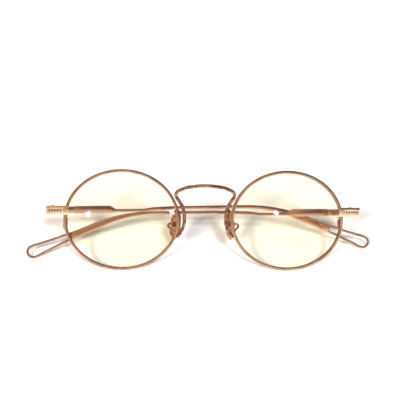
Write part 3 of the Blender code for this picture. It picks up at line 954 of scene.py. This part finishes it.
@dataclass(frozen=True)
class Lens:
    """One lens: a bowed plate whose bevelled edge sits in the rim's groove."""

    oval: LensOval
    body_shrink: float = 0.95
    tip_shrink: float = 0.35
    thickness: float = 1.6
    bevel_width: float = 0.5

    def build(self, side: Side, poses: Poses, finishes: Finishes) -> bpy.types.Object:
        """Builds and dresses the lens.

        Args:
            side: Which lens.
            poses: Where the CAD holds it.
            finishes: The finishes.

        Returns:
            The finished piece.
        """
        half = self.thickness / 2.0
        rib = self.bevel_width / 2.0
        shares = [0.0002, 0.1, 0.25, 0.4, 0.55, 0.7, 0.82, 0.92]
        body = self.body_shrink
        rings = [self.oval.ring(body, -half, share) for share in shares]
        rings += [self.oval.ring(body + 0.15, -half), self.oval.ring(body, -half + 0.15)]
        rings += [self.oval.ring(body, -rib), self.oval.ring(self.tip_shrink, -rib + 0.05)]
        rings += [self.oval.ring(self.tip_shrink, rib - 0.05), self.oval.ring(body, rib)]
        rings += [self.oval.ring(body, half - 0.15), self.oval.ring(body + 0.15, half)]
        rings += [self.oval.ring(body, half, share) for share in reversed(shares)]
        stack = RingStack(side.node("lens_plate"), rings[0])
        for ring in rings[1:]:
            stack.grow(ring)
        piece = stack.done(capped=False, merge=0.012)
        smooth(piece, 30.0)
        settle(piece, poses.lens(side))
        dress(piece, finishes.lens)
        return hand_in(piece, Body.FRONT.on(side), [side.node("lens")])


@dataclass(frozen=True)
class EndPiece:
    """One end piece: a flat bar that turns the corner, with bead recesses and a ring rivet."""

    half_height: float = 1.9
    centre_height: float = 3.7
    thickness: float = 1.4
    nose_thickness: float = 0.75
    nose_overlap: float = 2.4
    inner_start: float = 59.55
    half_width: float = 66.9
    corner_radius: float = 2.4
    corner_steps: int = 10
    corner_fall: float = 0.1
    set_back: float = -0.6
    slope: float = 0.6
    nose_share: float = 0.05
    step_share: float = 0.01
    front_shares: tuple[float, ...] = (0.6, 0.8)
    leg_places: tuple[float, ...] = (5.0, 8.0)
    leg_end: float = 9.85
    leg_soft: float = 0.25
    end_share: float = 0.93
    shoulder: float = 0.75
    shoulder_fall: float = 0.28
    shoulder_share: float = 0.55
    brow_fall: float = 0.06
    brow_rise: float = 0.08
    edge_soft: float = 0.14
    lip: float = 0.16
    bead_count: int = 5
    bead_radius: float = 0.42
    bead_pitch: float = 1.12
    bead_lead: float = 0.9
    bead_lift: float = 0.06
    bead_slack: float = 1.02
    rivet_radius: float = 1.25
    rivet_seat: float = 0.3
    rivet_steps: int = 40

    def path(self) -> list[tuple[float, float, float, float]]:
        """The bar's stations, from its inner end round the corner to the leg's end.

        Returns:
            Place X and Y, outward angle in degrees and thickness of each station.
        """
        start = self.inner_start - self.nose_overlap
        run = self.half_width - self.corner_radius - start
        lean = math.degrees(math.atan2(self.slope, run))
        step_at = (self.inner_start - start) / run
        thin, full = self.nose_thickness, self.thickness
        front = [(share, thin) for share in (0.0, self.nose_share, step_at - self.step_share)]
        front += [(share, full) for share in (step_at, *self.front_shares)]
        stations = []
        for share, thickness in front:
            y = self.set_back + self.slope * share
            stations.append((start + run * share, y, lean - 90.0, thickness))
        centre = (start + run, self.set_back + self.slope + self.corner_radius)
        corner = arc_points(centre, self.corner_radius, -90.0, 0.0, self.corner_steps)
        for step, (x, y) in enumerate(corner):
            stations.append((x, y, 90.0 * step / self.corner_steps - 90.0, full))
        for y in (*self.leg_places, self.leg_end - self.leg_soft, self.leg_end):
            stations.append((self.half_width, y, 0.0, full))
        return stations

    def ring(
        self, station: tuple[float, float, float, float], sign: int, share: float
    ) -> list[Point]:
        """The bar's section at one station.

        Args:
            station: Place X and Y, outward angle and thickness.
            sign: The side's sign.
            share: Height of the section as a share of the whole.

        Returns:
            The section's points.
        """
        x, y, angle, thickness = station
        turn = math.radians(angle)
        top = self.half_height * share
        band = top - self.shoulder
        fall, part, soft = self.shoulder_fall, self.shoulder_share, self.edge_soft
        upper = [
            (0.0, band),
            (-self.brow_fall, band + self.brow_rise),
            (-fall * part, band + self.shoulder * part),
            (-fall, top - self.lip),
            (-fall - soft, top),
            (-thickness + soft, top),
            (-thickness, top - soft),
        ]
        lower = [(out, -up) for out, up in reversed(upper)]
        points = []
        for out, up in [lower[-1], (0.0, 0.0)] + upper + lower[:-1]:
            place = (sign * (x + math.cos(turn) * out), y + math.sin(turn) * out)
            points.append((*place, self.centre_height + up))
        return points

    def build_bar(self, side: Side, poses: Poses, finishes: Finishes) -> bpy.types.Object:
        """Builds the bar with its recesses.

        Args:
            side: Which end piece.
            poses: Where the CAD holds it.
            finishes: The finishes.

        Returns:
            The finished piece.
        """
        rings = []
        stations = self.path()
        for index, station in enumerate(stations):
            turned = max(station[2] + 90.0, 0.0) / 90.0
            share = 1.0 - self.corner_fall * turned * turned
            if index in (0, len(stations) - 1):
                share *= self.end_share
            rings.append(self.ring(station, side.sign, share))
        piece = stack_rings(side.node("end_bar"), rings, capped=True)
        start = self.inner_start - self.nose_overlap
        first = start + self.rivet_radius * 2.0 + self.bead_lead
        run = self.half_width - self.corner_radius - start
        beads = []
        for index in range(self.bead_count):
            x = first + index * self.bead_pitch
            y = self.set_back + self.slope * (x - start) / run
            beads.append(Vector((side.sign * x, y - self.bead_lift, self.centre_height)))
            clear_bench()
            bpy.ops.mesh.primitive_uv_sphere_add(
                segments=20,
                ring_count=12,
                radius=self.bead_radius,
                location=beads[-1],
            )
            carve(piece, bpy.context.object)
        smooth(piece, 32.0)
        piece.data.materials.clear()
        piece.data.materials.append(finishes.stamping)
        # The second finish is the dull plate with painted shade for the hollows
        piece.data.materials.append(finishes.recess_shade)
        # A face gets the hollows' painted shade when all its points lie on one bead's carving
        # sphere
        points = piece.data.vertices
        limit = self.bead_radius * self.bead_slack
        for face in piece.data.polygons:
            for centre in beads:
                if all((points[index].co - centre).length < limit for index in face.vertices):
                    face.material_index = 1
        settle(piece, poses.front)
        return hand_in(piece, Body.FRONT.on(side), [side.node("end_piece")])

    def build_rivet(self, side: Side, poses: Poses, finishes: Finishes) -> bpy.types.Object:
        """Builds the ring rivet on the bar's inner end.

        Args:
            side: Which rivet.
            poses: Where the CAD holds it.
            finishes: The finishes.

        Returns:
            The finished piece.
        """
        seat = self.set_back - self.rivet_seat
        outline = [
            (0.02, 0.0),
            (self.rivet_radius - 0.06, 0.0),
            (self.rivet_radius, 0.1),
            (self.rivet_radius * 0.97, 0.3),
            (self.rivet_radius * 0.82, 0.5),
            (self.rivet_radius * 0.66, 0.5),
            (self.rivet_radius * 0.52, 0.24),
            (self.rivet_radius * 0.44, 0.22),
            (self.rivet_radius * 0.34, 0.4),
            (self.rivet_radius * 0.18, 0.53),
            (0.02, 0.55),
        ]
        x = side.sign * (self.inner_start - self.nose_overlap + self.rivet_radius)
        rings = []
        for radius, height in outline:
            ring = []
            for step in range(self.rivet_steps):
                angle = 2.0 * math.pi * step / self.rivet_steps
                across, up = radius * math.cos(angle), radius * math.sin(angle)
                ring.append((x + across, seat - height, self.centre_height + up))
            rings.append(ring)
        piece = stack_rings(side.node("ring_rivet"), rings, capped=True)
        smooth(piece, 50.0)
        settle(piece, poses.front)
        dress(piece, finishes.stamping)
        return hand_in(piece, Body.FRONT.on(side), [side.node("end_rivet")])


@dataclass(frozen=True)
class Bridge:
    """The arched bridge wire with its two legs beside the rims."""

    oval: LensOval
    radius: float = 0.72
    rim_wall: float = 1.3
    gap: float = 0.3
    lens_half_spacing: float = 35.0
    top_height: float = 14.4
    shoulder_half_span: float = 12.3
    shoulder_height: float = 10.9
    knee_half_span: float = 11.2
    knee_height: float = 8.2
    waist_half_span: float = 8.7
    waist_height: float = 1.0
    foot_height: float = -7.6
    top_forward: float = 1.9
    foot_forward: float = 1.0

    def foot_half_span(self) -> float:
        """Half the distance between the feet, which stand clear of the rims."""
        part = self.foot_height / self.oval.half_height
        line = self.lens_half_spacing - self.oval.half_width * math.sqrt(1.0 - part * part)
        return line - self.rim_wall / 2.0 - self.gap - self.radius

    def knots(self) -> list[Point]:
        """The knots from the left foot over the arch to the right foot."""
        half = [
            (0.0, -self.top_forward, self.top_height),
            (5.0, -self.top_forward, self.top_height - 0.35),
            (9.6, -self.top_forward * 0.85, self.top_height - 1.4),
            (self.shoulder_half_span, -self.foot_forward * 1.2, self.shoulder_height),
            (self.knee_half_span, -self.foot_forward, self.knee_height),
            (self.waist_half_span + 0.9, -self.foot_forward, self.waist_height + 4.6),
            (self.waist_half_span, -self.foot_forward, self.waist_height),
            (self.waist_half_span + 0.5, -self.foot_forward, self.waist_height - 4.0),
            (self.foot_half_span(), -self.foot_forward, self.foot_height + 0.5),
            (self.foot_half_span() + 0.08, -self.foot_forward, self.foot_height + 0.12),
            (self.foot_half_span() + 0.1, -self.foot_forward, self.foot_height),
        ]
        return [(-x, y, z) for x, y, z in reversed(half)] + half[1:]

    def build(self, poses: Poses, finishes: Finishes) -> bpy.types.Object:
        """Builds and dresses the bridge.

        Args:
            poses: Where the CAD holds it.
            finishes: The finishes.

        Returns:
            The finished piece.
        """
        knots = self.knots()
        shares = [1.0] * len(knots)
        shares[0] = shares[-1] = 0.45
        shares[1] = shares[-2] = 0.88
        piece = bend_wire("bridge_wire", knots, self.radius, shares=shares, steps=14, sides=5)
        smooth(piece, 50.0)
        settle(piece, poses.front)
        dress(piece, finishes.beaded)
        return hand_in(piece, Body.FRONT.value, ["bridge"])


@dataclass(frozen=True)
class Temple:
    """One temple: plate, waist and band, bent down at the ear, with an open wire loop."""

    thickness: float = 1.2
    offset: float = 2.05
    butt_overhang: float = 0.75
    butt_height: float = 2.8
    plate_start: float = 9.4
    plate_end: float = 25.0
    plate_height: float = 3.2
    chamfer_length: float = 2.2
    waist_end: float = 39.0
    waist_height: float = 1.25
    band_start: float = 44.0
    band_height: float = 1.5
    band_rise: float = 0.25
    ear_start: float = 84.0
    ear_radius: float = 62.0
    ear_angle: float = 22.5
    bow: float = 0.0003
    loop_start: float = 120.5
    loop_radius: float = 0.55
    loop_width: float = 4.8
    neck_width: float = 2.2
    tip_height: float = 3.0
    end_height: float = 3.3
    loop_cover: float = 0.9
    reach: float = 139.0
    gap: float = 0.3
    edge_round: float = 0.28

    def line(self, along: float) -> tuple[float, float, float]:
        """The centre line at a distance from the hinge.

        Args:
            along: Distance along the straight part's way.

        Returns:
            Offset in Y, height in Z and slope in radians.
        """
        bend = math.radians(self.ear_angle)
        reach = self.ear_radius * math.sin(bend)
        share = (along - self.waist_end) / (self.band_start - self.waist_end)
        rise = self.band_rise * min(max(share, 0.0), 1.0)
        past = along - self.ear_start
        slope = 0.0
        drop = 0.0
        if 0.0 < past < reach:
            slope = math.asin(past / self.ear_radius)
            drop = self.ear_radius * (1.0 - math.cos(slope))
        elif past >= reach:
            slope = bend
            drop = self.ear_radius * (1.0 - math.cos(bend)) + (past - reach) * math.tan(bend)
        return self.offset - self.bow * along * along, rise - drop, slope

    def stations(self) -> list[tuple[float, float, float]]:
        """Stations of the bar: distance, height and upward shift."""
        shift = (self.waist_height - self.plate_height) / 2.0 + 0.35
        stations = [
            (-self.butt_overhang, self.butt_height - 0.5, 0.0),
            (-self.butt_overhang + 0.2, self.butt_height, 0.0),
            (self.plate_start - 0.5, self.butt_height, 0.0),
            (self.plate_start - 0.25, self.butt_height - 0.35, 0.0),
            (self.plate_start, self.plate_height - 0.4, 0.0),
            (self.plate_start + 0.25, self.plate_height, 0.0),
            (self.plate_end - 0.2, self.plate_height, 0.0),
            (self.plate_end + 0.15, self.plate_height - 0.25, shift * 0.12),
            (self.plate_end + self.chamfer_length, self.waist_height + 0.08, shift * 0.96),
            (self.plate_end + self.chamfer_length + 0.6, self.waist_height, shift),
            (self.waist_end, self.waist_height, shift),
            (self.band_start, self.band_height, shift * 0.5),
            (self.band_start + 8.0, self.band_height, 0.0),
            (65.0, self.band_height, 0.0),
            (76.0, self.band_height, 0.0),
        ]
        bend_end = self.ear_start + self.ear_radius * math.sin(math.radians(self.ear_angle))
        for step in range(13):
            share = step / 12.0
            along = self.ear_start + (bend_end - self.ear_start) * share
            height = self.band_height + (self.tip_height - self.band_height) * share * share
            stations.append((along, height, 0.0))
        stations += [
            (self.loop_start - 4.0, self.tip_height, 0.0),
            (self.loop_start + self.loop_cover - 0.25, self.end_height, 0.0),
            (self.loop_start + self.loop_cover, self.end_height - 0.5, 0.0),
        ]
        return stations

    def ring(self, sign: int, along: float, height: float, shift: float) -> list[Point]:
        """The bar's rounded section at one station.

        Args:
            sign: The side's sign.
            along: Distance from the hinge.
            height: The section's height.
            shift: How far the section sits above the line.

        Returns:
            The section's points.
        """
        y, z, slope = self.line(along)
        half_y = self.thickness / 2.0
        half_z = height / 2.0
        soft = min(self.edge_round, half_z * 0.9)
        corners = ((1, -1, -90.0), (1, 1, 0.0), (-1, 1, 90.0), (-1, -1, 180.0))
        points = []
        for across, up, start in corners:
            centre = (across * (half_y - soft), up * (half_z - soft))
            for out, high in arc_points(centre, soft, start, start + 90.0, 3):
                lift = high + shift
                x = -sign * (along + lift * math.sin(slope))
                points.append((x, y + out, z + lift * math.cos(slope)))
        return points

    def build_bar(self, side: Side, poses: Poses, finishes: Finishes) -> bpy.types.Object:
        """Builds and dresses the bar.

        Args:
            side: Which temple.
            poses: Where the CAD holds it.
            finishes: The finishes.

        Returns:
            The finished piece.
        """
        rings = [self.ring(side.sign, *station) for station in self.stations()]
        piece = stack_rings(side.node("temple_blade"), rings, capped=True)
        smooth(piece, 50.0)
        settle(piece, poses.temple(side))
        dress(piece, finishes.temple)
        return hand_in(piece, Body.TEMPLE.on(side), [side.node("temple_bar")])

    def loop_knots(self, sign: int) -> list[Point]:
        """The loop's knots in the temple's pose.

        Args:
            sign: The side's sign.

        Returns:
            The knots in order round the loop.
        """
        bend = math.radians(self.ear_angle)
        half = self.loop_width / 2.0
        start = self.loop_start + (self.gap + self.loop_radius) * math.cos(bend)
        end = self.reach - (half + self.loop_radius) * math.cos(bend)
        length = (end - start) / math.cos(bend)
        neck = self.neck_width / 2.0
        upper = [(0.1, neck * 0.55), (0.6, neck)]
        for share in (0.25, 0.5, 0.75, 1.0):
            upper.append((length * share, neck + (half - neck) * share))
        tip = arc_points((length, 0.0), half, 60.0, -60.0, 4)
        lower = [(along, -up) for along, up in reversed(upper)]
        base = self.line(start)
        knots = []
        for along, up in [(0.0, 0.0)] + upper + tip + lower:
            x = start + along * math.cos(bend) + up * math.sin(bend)
            z = base[1] - along * math.sin(bend) + up * math.cos(bend)
            knots.append((-sign * x, self.line(x)[0], z))
        return knots

    def build_loop(self, side: Side, poses: Poses, finishes: Finishes) -> bpy.types.Object:
        """Builds and dresses the wire loop.

        Args:
            side: Which temple.
            poses: Where the CAD holds it.
            finishes: The finishes.

        Returns:
            The finished piece.
        """
        name = side.node("temple_loop_wire")
        knots = self.loop_knots(side.sign)
        piece = bend_wire(name, knots, self.loop_radius, closed=True, steps=8)
        smooth(piece, 50.0)
        settle(piece, poses.temple(side))
        dress(piece, finishes.wire)
        return hand_in(piece, Body.TEMPLE.on(side), [side.node("temple_loop")])


@dataclass(frozen=True)
class NosePad:
    """One nose pad, its boss behind it and the wire arm that carries it."""

    length: float = 13.4
    width: float = 6.8
    thickness: float = 1.5
    box_height: float = 1.3
    arm_radius: float = 0.45
    arm_foot_height: float = -5.0
    turn_drop: float = 2.2
    turn_reach: float = 1.3
    turn_out: float = 1.9
    gap: float = 0.3
    arm_seat: float = 0.1
    arm_lead: float = 0.9
    taper: float = 0.16
    steps: int = 56

    def ring(self, level: float, share: float) -> list[Point]:
        """One loop of the egg-shaped pad.

        Args:
            level: Height out of the pad's face.
            share: Size as a share of the whole.

        Returns:
            The loop's points.
        """
        points = []
        for step in range(self.steps):
            angle = 2.0 * math.pi * step / self.steps
            taper = 1.0 - self.taper * math.sin(angle)
            x = self.width / 2.0 * share * taper * math.cos(angle)
            y = self.length / 2.0 * share * math.sin(angle)
            points.append((x, y, level))
        return points

    def build_pad(self, side: Side, poses: Poses, finishes: Finishes) -> bpy.types.Object:
        """Builds and dresses the pad.

        Args:
            side: Which pad.
            poses: Where the CAD holds it.
            finishes: The finishes.

        Returns:
            The finished piece.
        """
        half = self.thickness / 2.0
        levels = [
            (-half + 0.22, 0.05),
            (-half + 0.22, 0.6),
            (-half + 0.18, 0.72),
            (-half, 0.76),
            (-half, 0.80),
            (-half * 0.8, 0.875),
            (-half * 0.5, 0.955),
            (-half * 0.2, 0.99),
            (0.0, 1.0),
            (half * 0.2, 0.99),
            (half * 0.5, 0.96),
            (half * 0.8, 0.88),
            (half, 0.78),
            (half + 0.12, 0.6),
            (half + 0.2, 0.4),
            (half + 0.22, 0.05),
        ]
        rings = [self.ring(level, share) for level, share in levels]
        piece = stack_rings(side.node("pad_shell"), rings, capped=True)
        smooth(piece, 45.0)
        settle(piece, poses.pad(side))
        dress(piece, finishes.pad)
        return hand_in(piece, Body.PAD.on(side), [side.node("nose_pad")])

    def arm_knots(self, side: Side, poses: Poses, rim: Rim) -> list[Point]:
        """The arm's knots in the front's pose.

        Args:
            side: Which arm.
            poses: Where the CAD holds the front and the pad.
            rim: The rim that the arm stands on.

        Returns:
            The knots from inside the rim's wire to inside the holder.
        """
        sign = side.sign
        oval = rim.oval
        top = -self.thickness / 2.0 - self.gap
        local = poses.front.inverted() @ poses.pad(side)
        end = (local @ (Vector((0.0, 0.0, top - self.box_height - self.gap - 0.02)) * MM)) / MM
        seat = (local @ (Vector((0.0, 0.0, top - self.box_height + self.arm_seat)) * MM)) / MM
        away = (local.to_3x3() @ Vector((0.0, 0.0, -1.0))).normalized()
        part = self.arm_foot_height / oval.half_height
        foot_x = poses.lens_half_spacing - oval.half_width * math.sqrt(1.0 - part * part)
        wrap = math.radians(poses.face_wrap_angle)
        sag = oval.half_width * oval.half_width / (2.0 * oval.base_curve_radius) - oval.set_forward
        back = (sag + rim.depth / 2.0) * math.cos(wrap)
        foot_y = -oval.half_width * math.sin(wrap) + back + self.gap
        foot = Vector((sign * foot_x, foot_y, self.arm_foot_height))
        root = foot - Vector((0.0, self.gap + self.arm_seat, 0.0))
        knee = foot + Vector((sign * 0.4, 2.2, -0.4))
        turn_low = Vector(
            (
                sign * (poses.pad_half_span + self.turn_out),
                poses.pad_back - 4.6,
                poses.pad_centre_height - self.turn_drop,
            )
        )
        turn_top = end + away * self.turn_reach + Vector((sign * 0.1, 0.0, -0.7))
        lead = end + away * self.arm_lead
        return [tuple(knot) for knot in (root, foot, knee, turn_low, turn_top, lead, end, seat)]

    def build_arm(self, side: Side, poses: Poses, rim: Rim, finishes: Finishes) -> bpy.types.Object:
        """Builds and dresses the arm.

        Args:
            side: Which arm.
            poses: Where the CAD holds it.
            rim: The rim that it stands on.
            finishes: The finishes.

        Returns:
            The finished piece.
        """
        knots = self.arm_knots(side, poses, rim)
        piece = bend_wire(side.node("pad_arm_wire"), knots, self.arm_radius, steps=12)
        smooth(piece, 50.0)
        settle(piece, poses.front)
        dress(piece, finishes.wire)
        return hand_in(piece, Body.FRONT.on(side), [side.node("pad_arm")])


@dataclass(frozen=True)
class HingeScrew:
    """One hinge screw, whose slotted head lies on the top knuckle."""

    knuckle_height: float = 0.85
    knuckle_gap: float = 0.3
    shaft_radius: float = 0.45
    head_radius: float = 0.95
    head_height: float = 0.24
    head_lift: float = 0.03
    slot_width: float = 0.26
    slot_depth: float = 0.14
    steps: int = 40

    def build(self, side: Side, poses: Poses, finishes: Finishes) -> bpy.types.Object:
        """Builds and dresses the screw.

        Args:
            side: Which hinge.
            poses: Where the CAD holds it.
            finishes: The finishes.

        Returns:
            The finished piece.
        """
        half = self.knuckle_height * 1.5 + self.knuckle_gap
        seat = half + self.head_lift
        top = seat + self.head_height
        outline = [
            (0.02, -half),
            (self.shaft_radius - 0.06, -half),
            (self.shaft_radius, -half + 0.06),
            (self.shaft_radius, seat),
            (self.head_radius, seat),
            (self.head_radius, top - 0.1),
            (self.head_radius * 0.8, top),
            (0.02, top),
        ]
        rings = []
        last = 360.0 * (self.steps - 1) / self.steps
        for radius, height in outline:
            circle = arc_points((0.0, 0.0), radius, 0.0, last, self.steps - 1)
            rings.append([(x, y, height) for x, y in circle])
        piece = stack_rings(side.node("slotted_hinge_screw"), rings, capped=True)
        clear_bench()
        bpy.ops.mesh.primitive_cube_add(
            size=1.0,
            location=(0.0, 0.0, top),
            scale=(self.head_radius * 3.0, self.slot_width, self.slot_depth * 2.0),
        )
        carve(piece, bpy.context.object)
        smooth(piece, 35.0)
        settle(piece, poses.temple(side))
        dress(piece, finishes.steel)
        return hand_in(piece, Body.FRONT.on(side), [side.node("hinge_screw")])


@dataclass(frozen=True)
class Fittings:
    """Small fittings whose CAD shape is right: locks, hinges, holders and lock screws."""

    buffed: tuple[str, ...] = ("lock_upper", "lock_lower", "pad_holder")
    plated: tuple[str, ...] = ("front_hinge", "temple_hinge_leaf")
    screws: tuple[str, ...] = ("lock_screw",)

    def dress_all(self, side: Side, nodes: dict[str, bpy.types.Object], finishes: Finishes) -> None:
        """Gives each carried-over node its finish.

        Args:
            side: Which side's fittings.
            nodes: The frame's nodes.
            finishes: The finishes.
        """
        groups = (
            (self.buffed, finishes.wire),
            (self.plated, finishes.stamping),
            (self.screws, finishes.steel),
        )
        for stems, material in groups:
            for stem in stems:
                for slot in nodes[side.node(stem)].material_slots:
                    slot.material = material
                log.info("%s: dressed with %s", side.node(stem), material.name)


# Stage


@dataclass(frozen=True)
class Lamp:
    """One lamp: a soft box that nothing mirrors, or a mirrored bulb that lights lenses only."""

    name: str
    place: Point
    size: float
    watts: float
    colour: str = "#FFFFFF"
    mirrored: bool = False
    aim: Point = (0.0, 0.0, 0.01)

    def hang(self, glass: bpy.types.Collection) -> bpy.types.Object:
        """Adds the lamp and turns it to its aim.

        Args:
            glass: The only pieces that a mirrored lamp lights.

        Returns:
            The lamp object.
        """
        data = bpy.data.lights.new(self.name, "AREA")
        data.shape = "DISK" if self.mirrored else "RECTANGLE"
        data.size = self.size
        data.size_y = self.size
        data.energy = self.watts
        data.color = linear(self.colour)[:3]
        lamp = bpy.data.objects.new(self.name, data)
        bpy.context.scene.collection.objects.link(lamp)
        lamp.visible_glossy = self.mirrored
        if self.mirrored:
            lamp.light_linking.receiver_collection = glass
        way = Vector(self.aim) - Vector(self.place)
        turn = way.to_track_quat("-Z", "Y").to_matrix().to_4x4()
        lamp.matrix_world = Matrix.Translation(self.place) @ turn
        return lamp


@dataclass(frozen=True)
class Studio:
    """White table, soft lamps, pale room and the camera."""

    floor_size: float = 6.0
    floor_drop: float = 0.00002
    camera_place: Point = (-0.0489, -0.4960, 0.2324)
    camera_right: Point = (0.99615, -0.07750, 0.04095)
    camera_back: Point = (-0.08728, -0.91987, 0.38238)
    focal_length: float = 114.5

    def lay_floor(self) -> None:
        """Adds the table top, which shows white to the camera and keeps the shadow."""
        clear_bench()
        place = (0.0, 0.0, -self.floor_drop)
        bpy.ops.mesh.primitive_plane_add(size=self.floor_size, location=place)
        floor = bpy.context.object
        floor.name = "table_top"
        material, tree = new_tree("matt_white_table")
        # White laminate, pale enough to need a little help to reach the photograph's white
        matt = add_node(tree, "ShaderNodeBsdfDiffuse", values={"Color": linear("#F1F1EF")})
        lift = add_node(
            tree, "ShaderNodeEmission", values={"Color": linear("#FFDCC0"), "Strength": 0.06}
        )
        both = add_node(
            tree,
            "ShaderNodeAddShader",
            links={0: matt.outputs["BSDF"], 1: lift.outputs["Emission"]},
        )
        path = add_node(tree, "ShaderNodeLightPath")
        glossy = add_node(
            tree,
            "ShaderNodeMath",
            settings={"operation": "MAXIMUM"},
            links={0: path.outputs["Is Camera Ray"], 1: path.outputs["Is Glossy Ray"]},
        )
        seen = add_node(
            tree,
            "ShaderNodeMath",
            settings={"operation": "MAXIMUM"},
            links={0: glossy.outputs[0], 1: path.outputs["Is Transmission Ray"]},
        )
        surface = add_node(
            tree,
            "ShaderNodeMixShader",
            links={0: seen.outputs[0], 1: matt.outputs["BSDF"], 2: both.outputs["Shader"]},
        )
        add_node(tree, "ShaderNodeOutputMaterial", links={"Surface": surface.outputs["Shader"]})
        dress(floor, material)
        log.info("table_top: laid")

    def light_room(self) -> None:
        """Sets the pale room and hangs the lamps."""
        world = bpy.data.worlds.new("studio_room")
        bpy.context.scene.world = world
        world.use_nodes = True
        tree = world.node_tree
        tree.nodes.clear()
        path = add_node(tree, "ShaderNodeLightPath")
        # The room from the front over the ceiling to the back: pale in front with a dim stretch
        # behind the camera, a light band above it, then a dark ceiling and back wall
        way = add_node(tree, "ShaderNodeTexCoord")
        split = add_node(tree, "ShaderNodeSeparateXYZ", links={0: way.outputs["Generated"]})
        ahead = add_node(
            tree,
            "ShaderNodeMath",
            settings={"operation": "MULTIPLY"},
            values={1: -1.0},
            links={0: split.outputs["Y"]},
        )
        climb = add_node(
            tree,
            "ShaderNodeMath",
            settings={"operation": "ARCTAN2"},
            links={0: split.outputs["Z"], 1: ahead.outputs[0]},
        )
        turn = add_node(
            tree,
            "ShaderNodeMath",
            settings={"operation": "DIVIDE"},
            values={1: math.pi},
            links={0: climb.outputs[0]},
        )
        stops = [
            (0.0, "#F4EFE8"),
            (0.08, "#FFF8EE"),
            (0.13, "#FFF4E6"),
            (0.165, "#D2C4B8"),
            (0.19, "#8A8088"),
            (0.215, "#5C5A7A"),
            (0.27, "#6A6886"),
            (0.31, "#F0E6DA"),
            (0.37, "#FFF6EA"),
            (0.42, "#5A524F"),
            (0.55, "#2E2928"),
            (1.0, "#4A423C"),
        ]
        wall = add_node(
            tree,
            "ShaderNodeValToRGB",
            links={"Fac": turn.outputs[0]},
            stops=stops,
        )
        # The window side of the room, on the left, is paler and warmer
        window = add_node(
            tree,
            "ShaderNodeMapRange",
            values={"From Min": 0.11, "From Max": 0.01, "To Min": 0.0, "To Max": 0.6},
            links={"Value": split.outputs["X"]},
        )
        paler = add_node(
            tree,
            "ShaderNodeMix",
            settings={"data_type": "RGBA"},
            values={7: linear("#F6D6BE")},
            links={0: window.outputs["Result"], 6: wall.outputs["Color"]},
        )
        # Metal and glass mirror the whole room, while less of its light reaches the table
        share = add_node(
            tree,
            "ShaderNodeMapRange",
            values={"To Min": 0.4, "To Max": 1.0},
            links={"Value": path.outputs["Is Glossy Ray"]},
        )
        room = add_node(
            tree,
            "ShaderNodeBackground",
            links={"Color": paler.outputs[2], "Strength": share.outputs["Result"]},
        )
        white = add_node(
            tree, "ShaderNodeBackground", values={"Color": linear("#FEFEFC"), "Strength": 1.0}
        )
        surface = add_node(
            tree,
            "ShaderNodeMixShader",
            links={
                0: path.outputs["Is Camera Ray"],
                1: room.outputs["Background"],
                2: white.outputs["Background"],
            },
        )
        add_node(tree, "ShaderNodeOutputWorld", links={"Surface": surface.outputs["Shader"]})
        lamps = [
            Lamp("front_left_softbox", (-2.12, -5.68, 2.52), 0.75, 700.0, "#FFF4E8"),
            Lamp("front_right_softbox", (0.34, -5.62, 3.25), 0.75, 585.0, "#F2F6FF"),
            # Two small bulbs that leave a dot each on the lenses
            Lamp("far_bulb", (-0.42, -1.05, 0.45), 0.028, 1.9, mirrored=True),
            Lamp("near_bulb", (0.098, -0.369, 0.179), 0.012, 0.16, mirrored=True),
        ]
        glass = bpy.data.collections.new("lenses_only")
        for side in Side:
            glass.objects.link(bpy.data.objects[side.node("lens_plate")])
        for lamp in lamps:
            lamp.hang(glass)
            log.info("%s: hung", lamp.name)

    def set_camera(self) -> None:
        """Adds the camera at the photograph's place."""
        data = bpy.data.cameras.new("camera")
        data.sensor_width = 36.0
        data.lens = self.focal_length
        data.clip_start = 0.01
        data.clip_end = 50.0
        camera = bpy.data.objects.new("camera", data)
        bpy.context.scene.collection.objects.link(camera)
        back = Vector(self.camera_back).normalized()
        up = back.cross(Vector(self.camera_right)).normalized()
        right = up.cross(back)
        turn = Matrix((right, up, back)).transposed().to_4x4()
        camera.matrix_world = Matrix.Translation(self.camera_place) @ turn
        bpy.context.scene.camera = camera
        log.info("camera: set")


def corners(box: Sequence[Vector]) -> list[list[float]]:
    """A box as plain lists of numbers."""
    return [[float(value) for value in corner] for corner in box]


def main() -> None:
    """Builds the glasses around the frame, then the stage."""
    logging.basicConfig(level=logging.INFO, format="%(message)s")
    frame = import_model()
    clear_bench()
    bpy.context.scene.view_settings.view_transform = "Standard"
    poses = Poses.from_joint(frame["joints"])
    finishes = Finishes()
    oval = LensOval()
    rim = Rim(oval)
    lens = Lens(oval)
    end_piece = EndPiece()
    temple = Temple()
    nose_pad = NosePad()
    hinge_screw = HingeScrew()
    fittings = Fittings()
    for side in Side:
        rim.build(side, poses, finishes)
        lens.build(side, poses, finishes)
        end_piece.build_bar(side, poses, finishes)
        end_piece.build_rivet(side, poses, finishes)
        temple.build_bar(side, poses, finishes)
        temple.build_loop(side, poses, finishes)
        nose_pad.build_pad(side, poses, finishes)
        nose_pad.build_arm(side, poses, rim, finishes)
        hinge_screw.build(side, poses, finishes)
        fittings.dress_all(side, frame["nodes"], finishes)
    Bridge(oval).build(poses, finishes)
    studio = Studio()
    studio.lay_floor()
    studio.light_room()
    studio.set_camera()
    clear_bench()


if __name__ == "__main__":
    main()
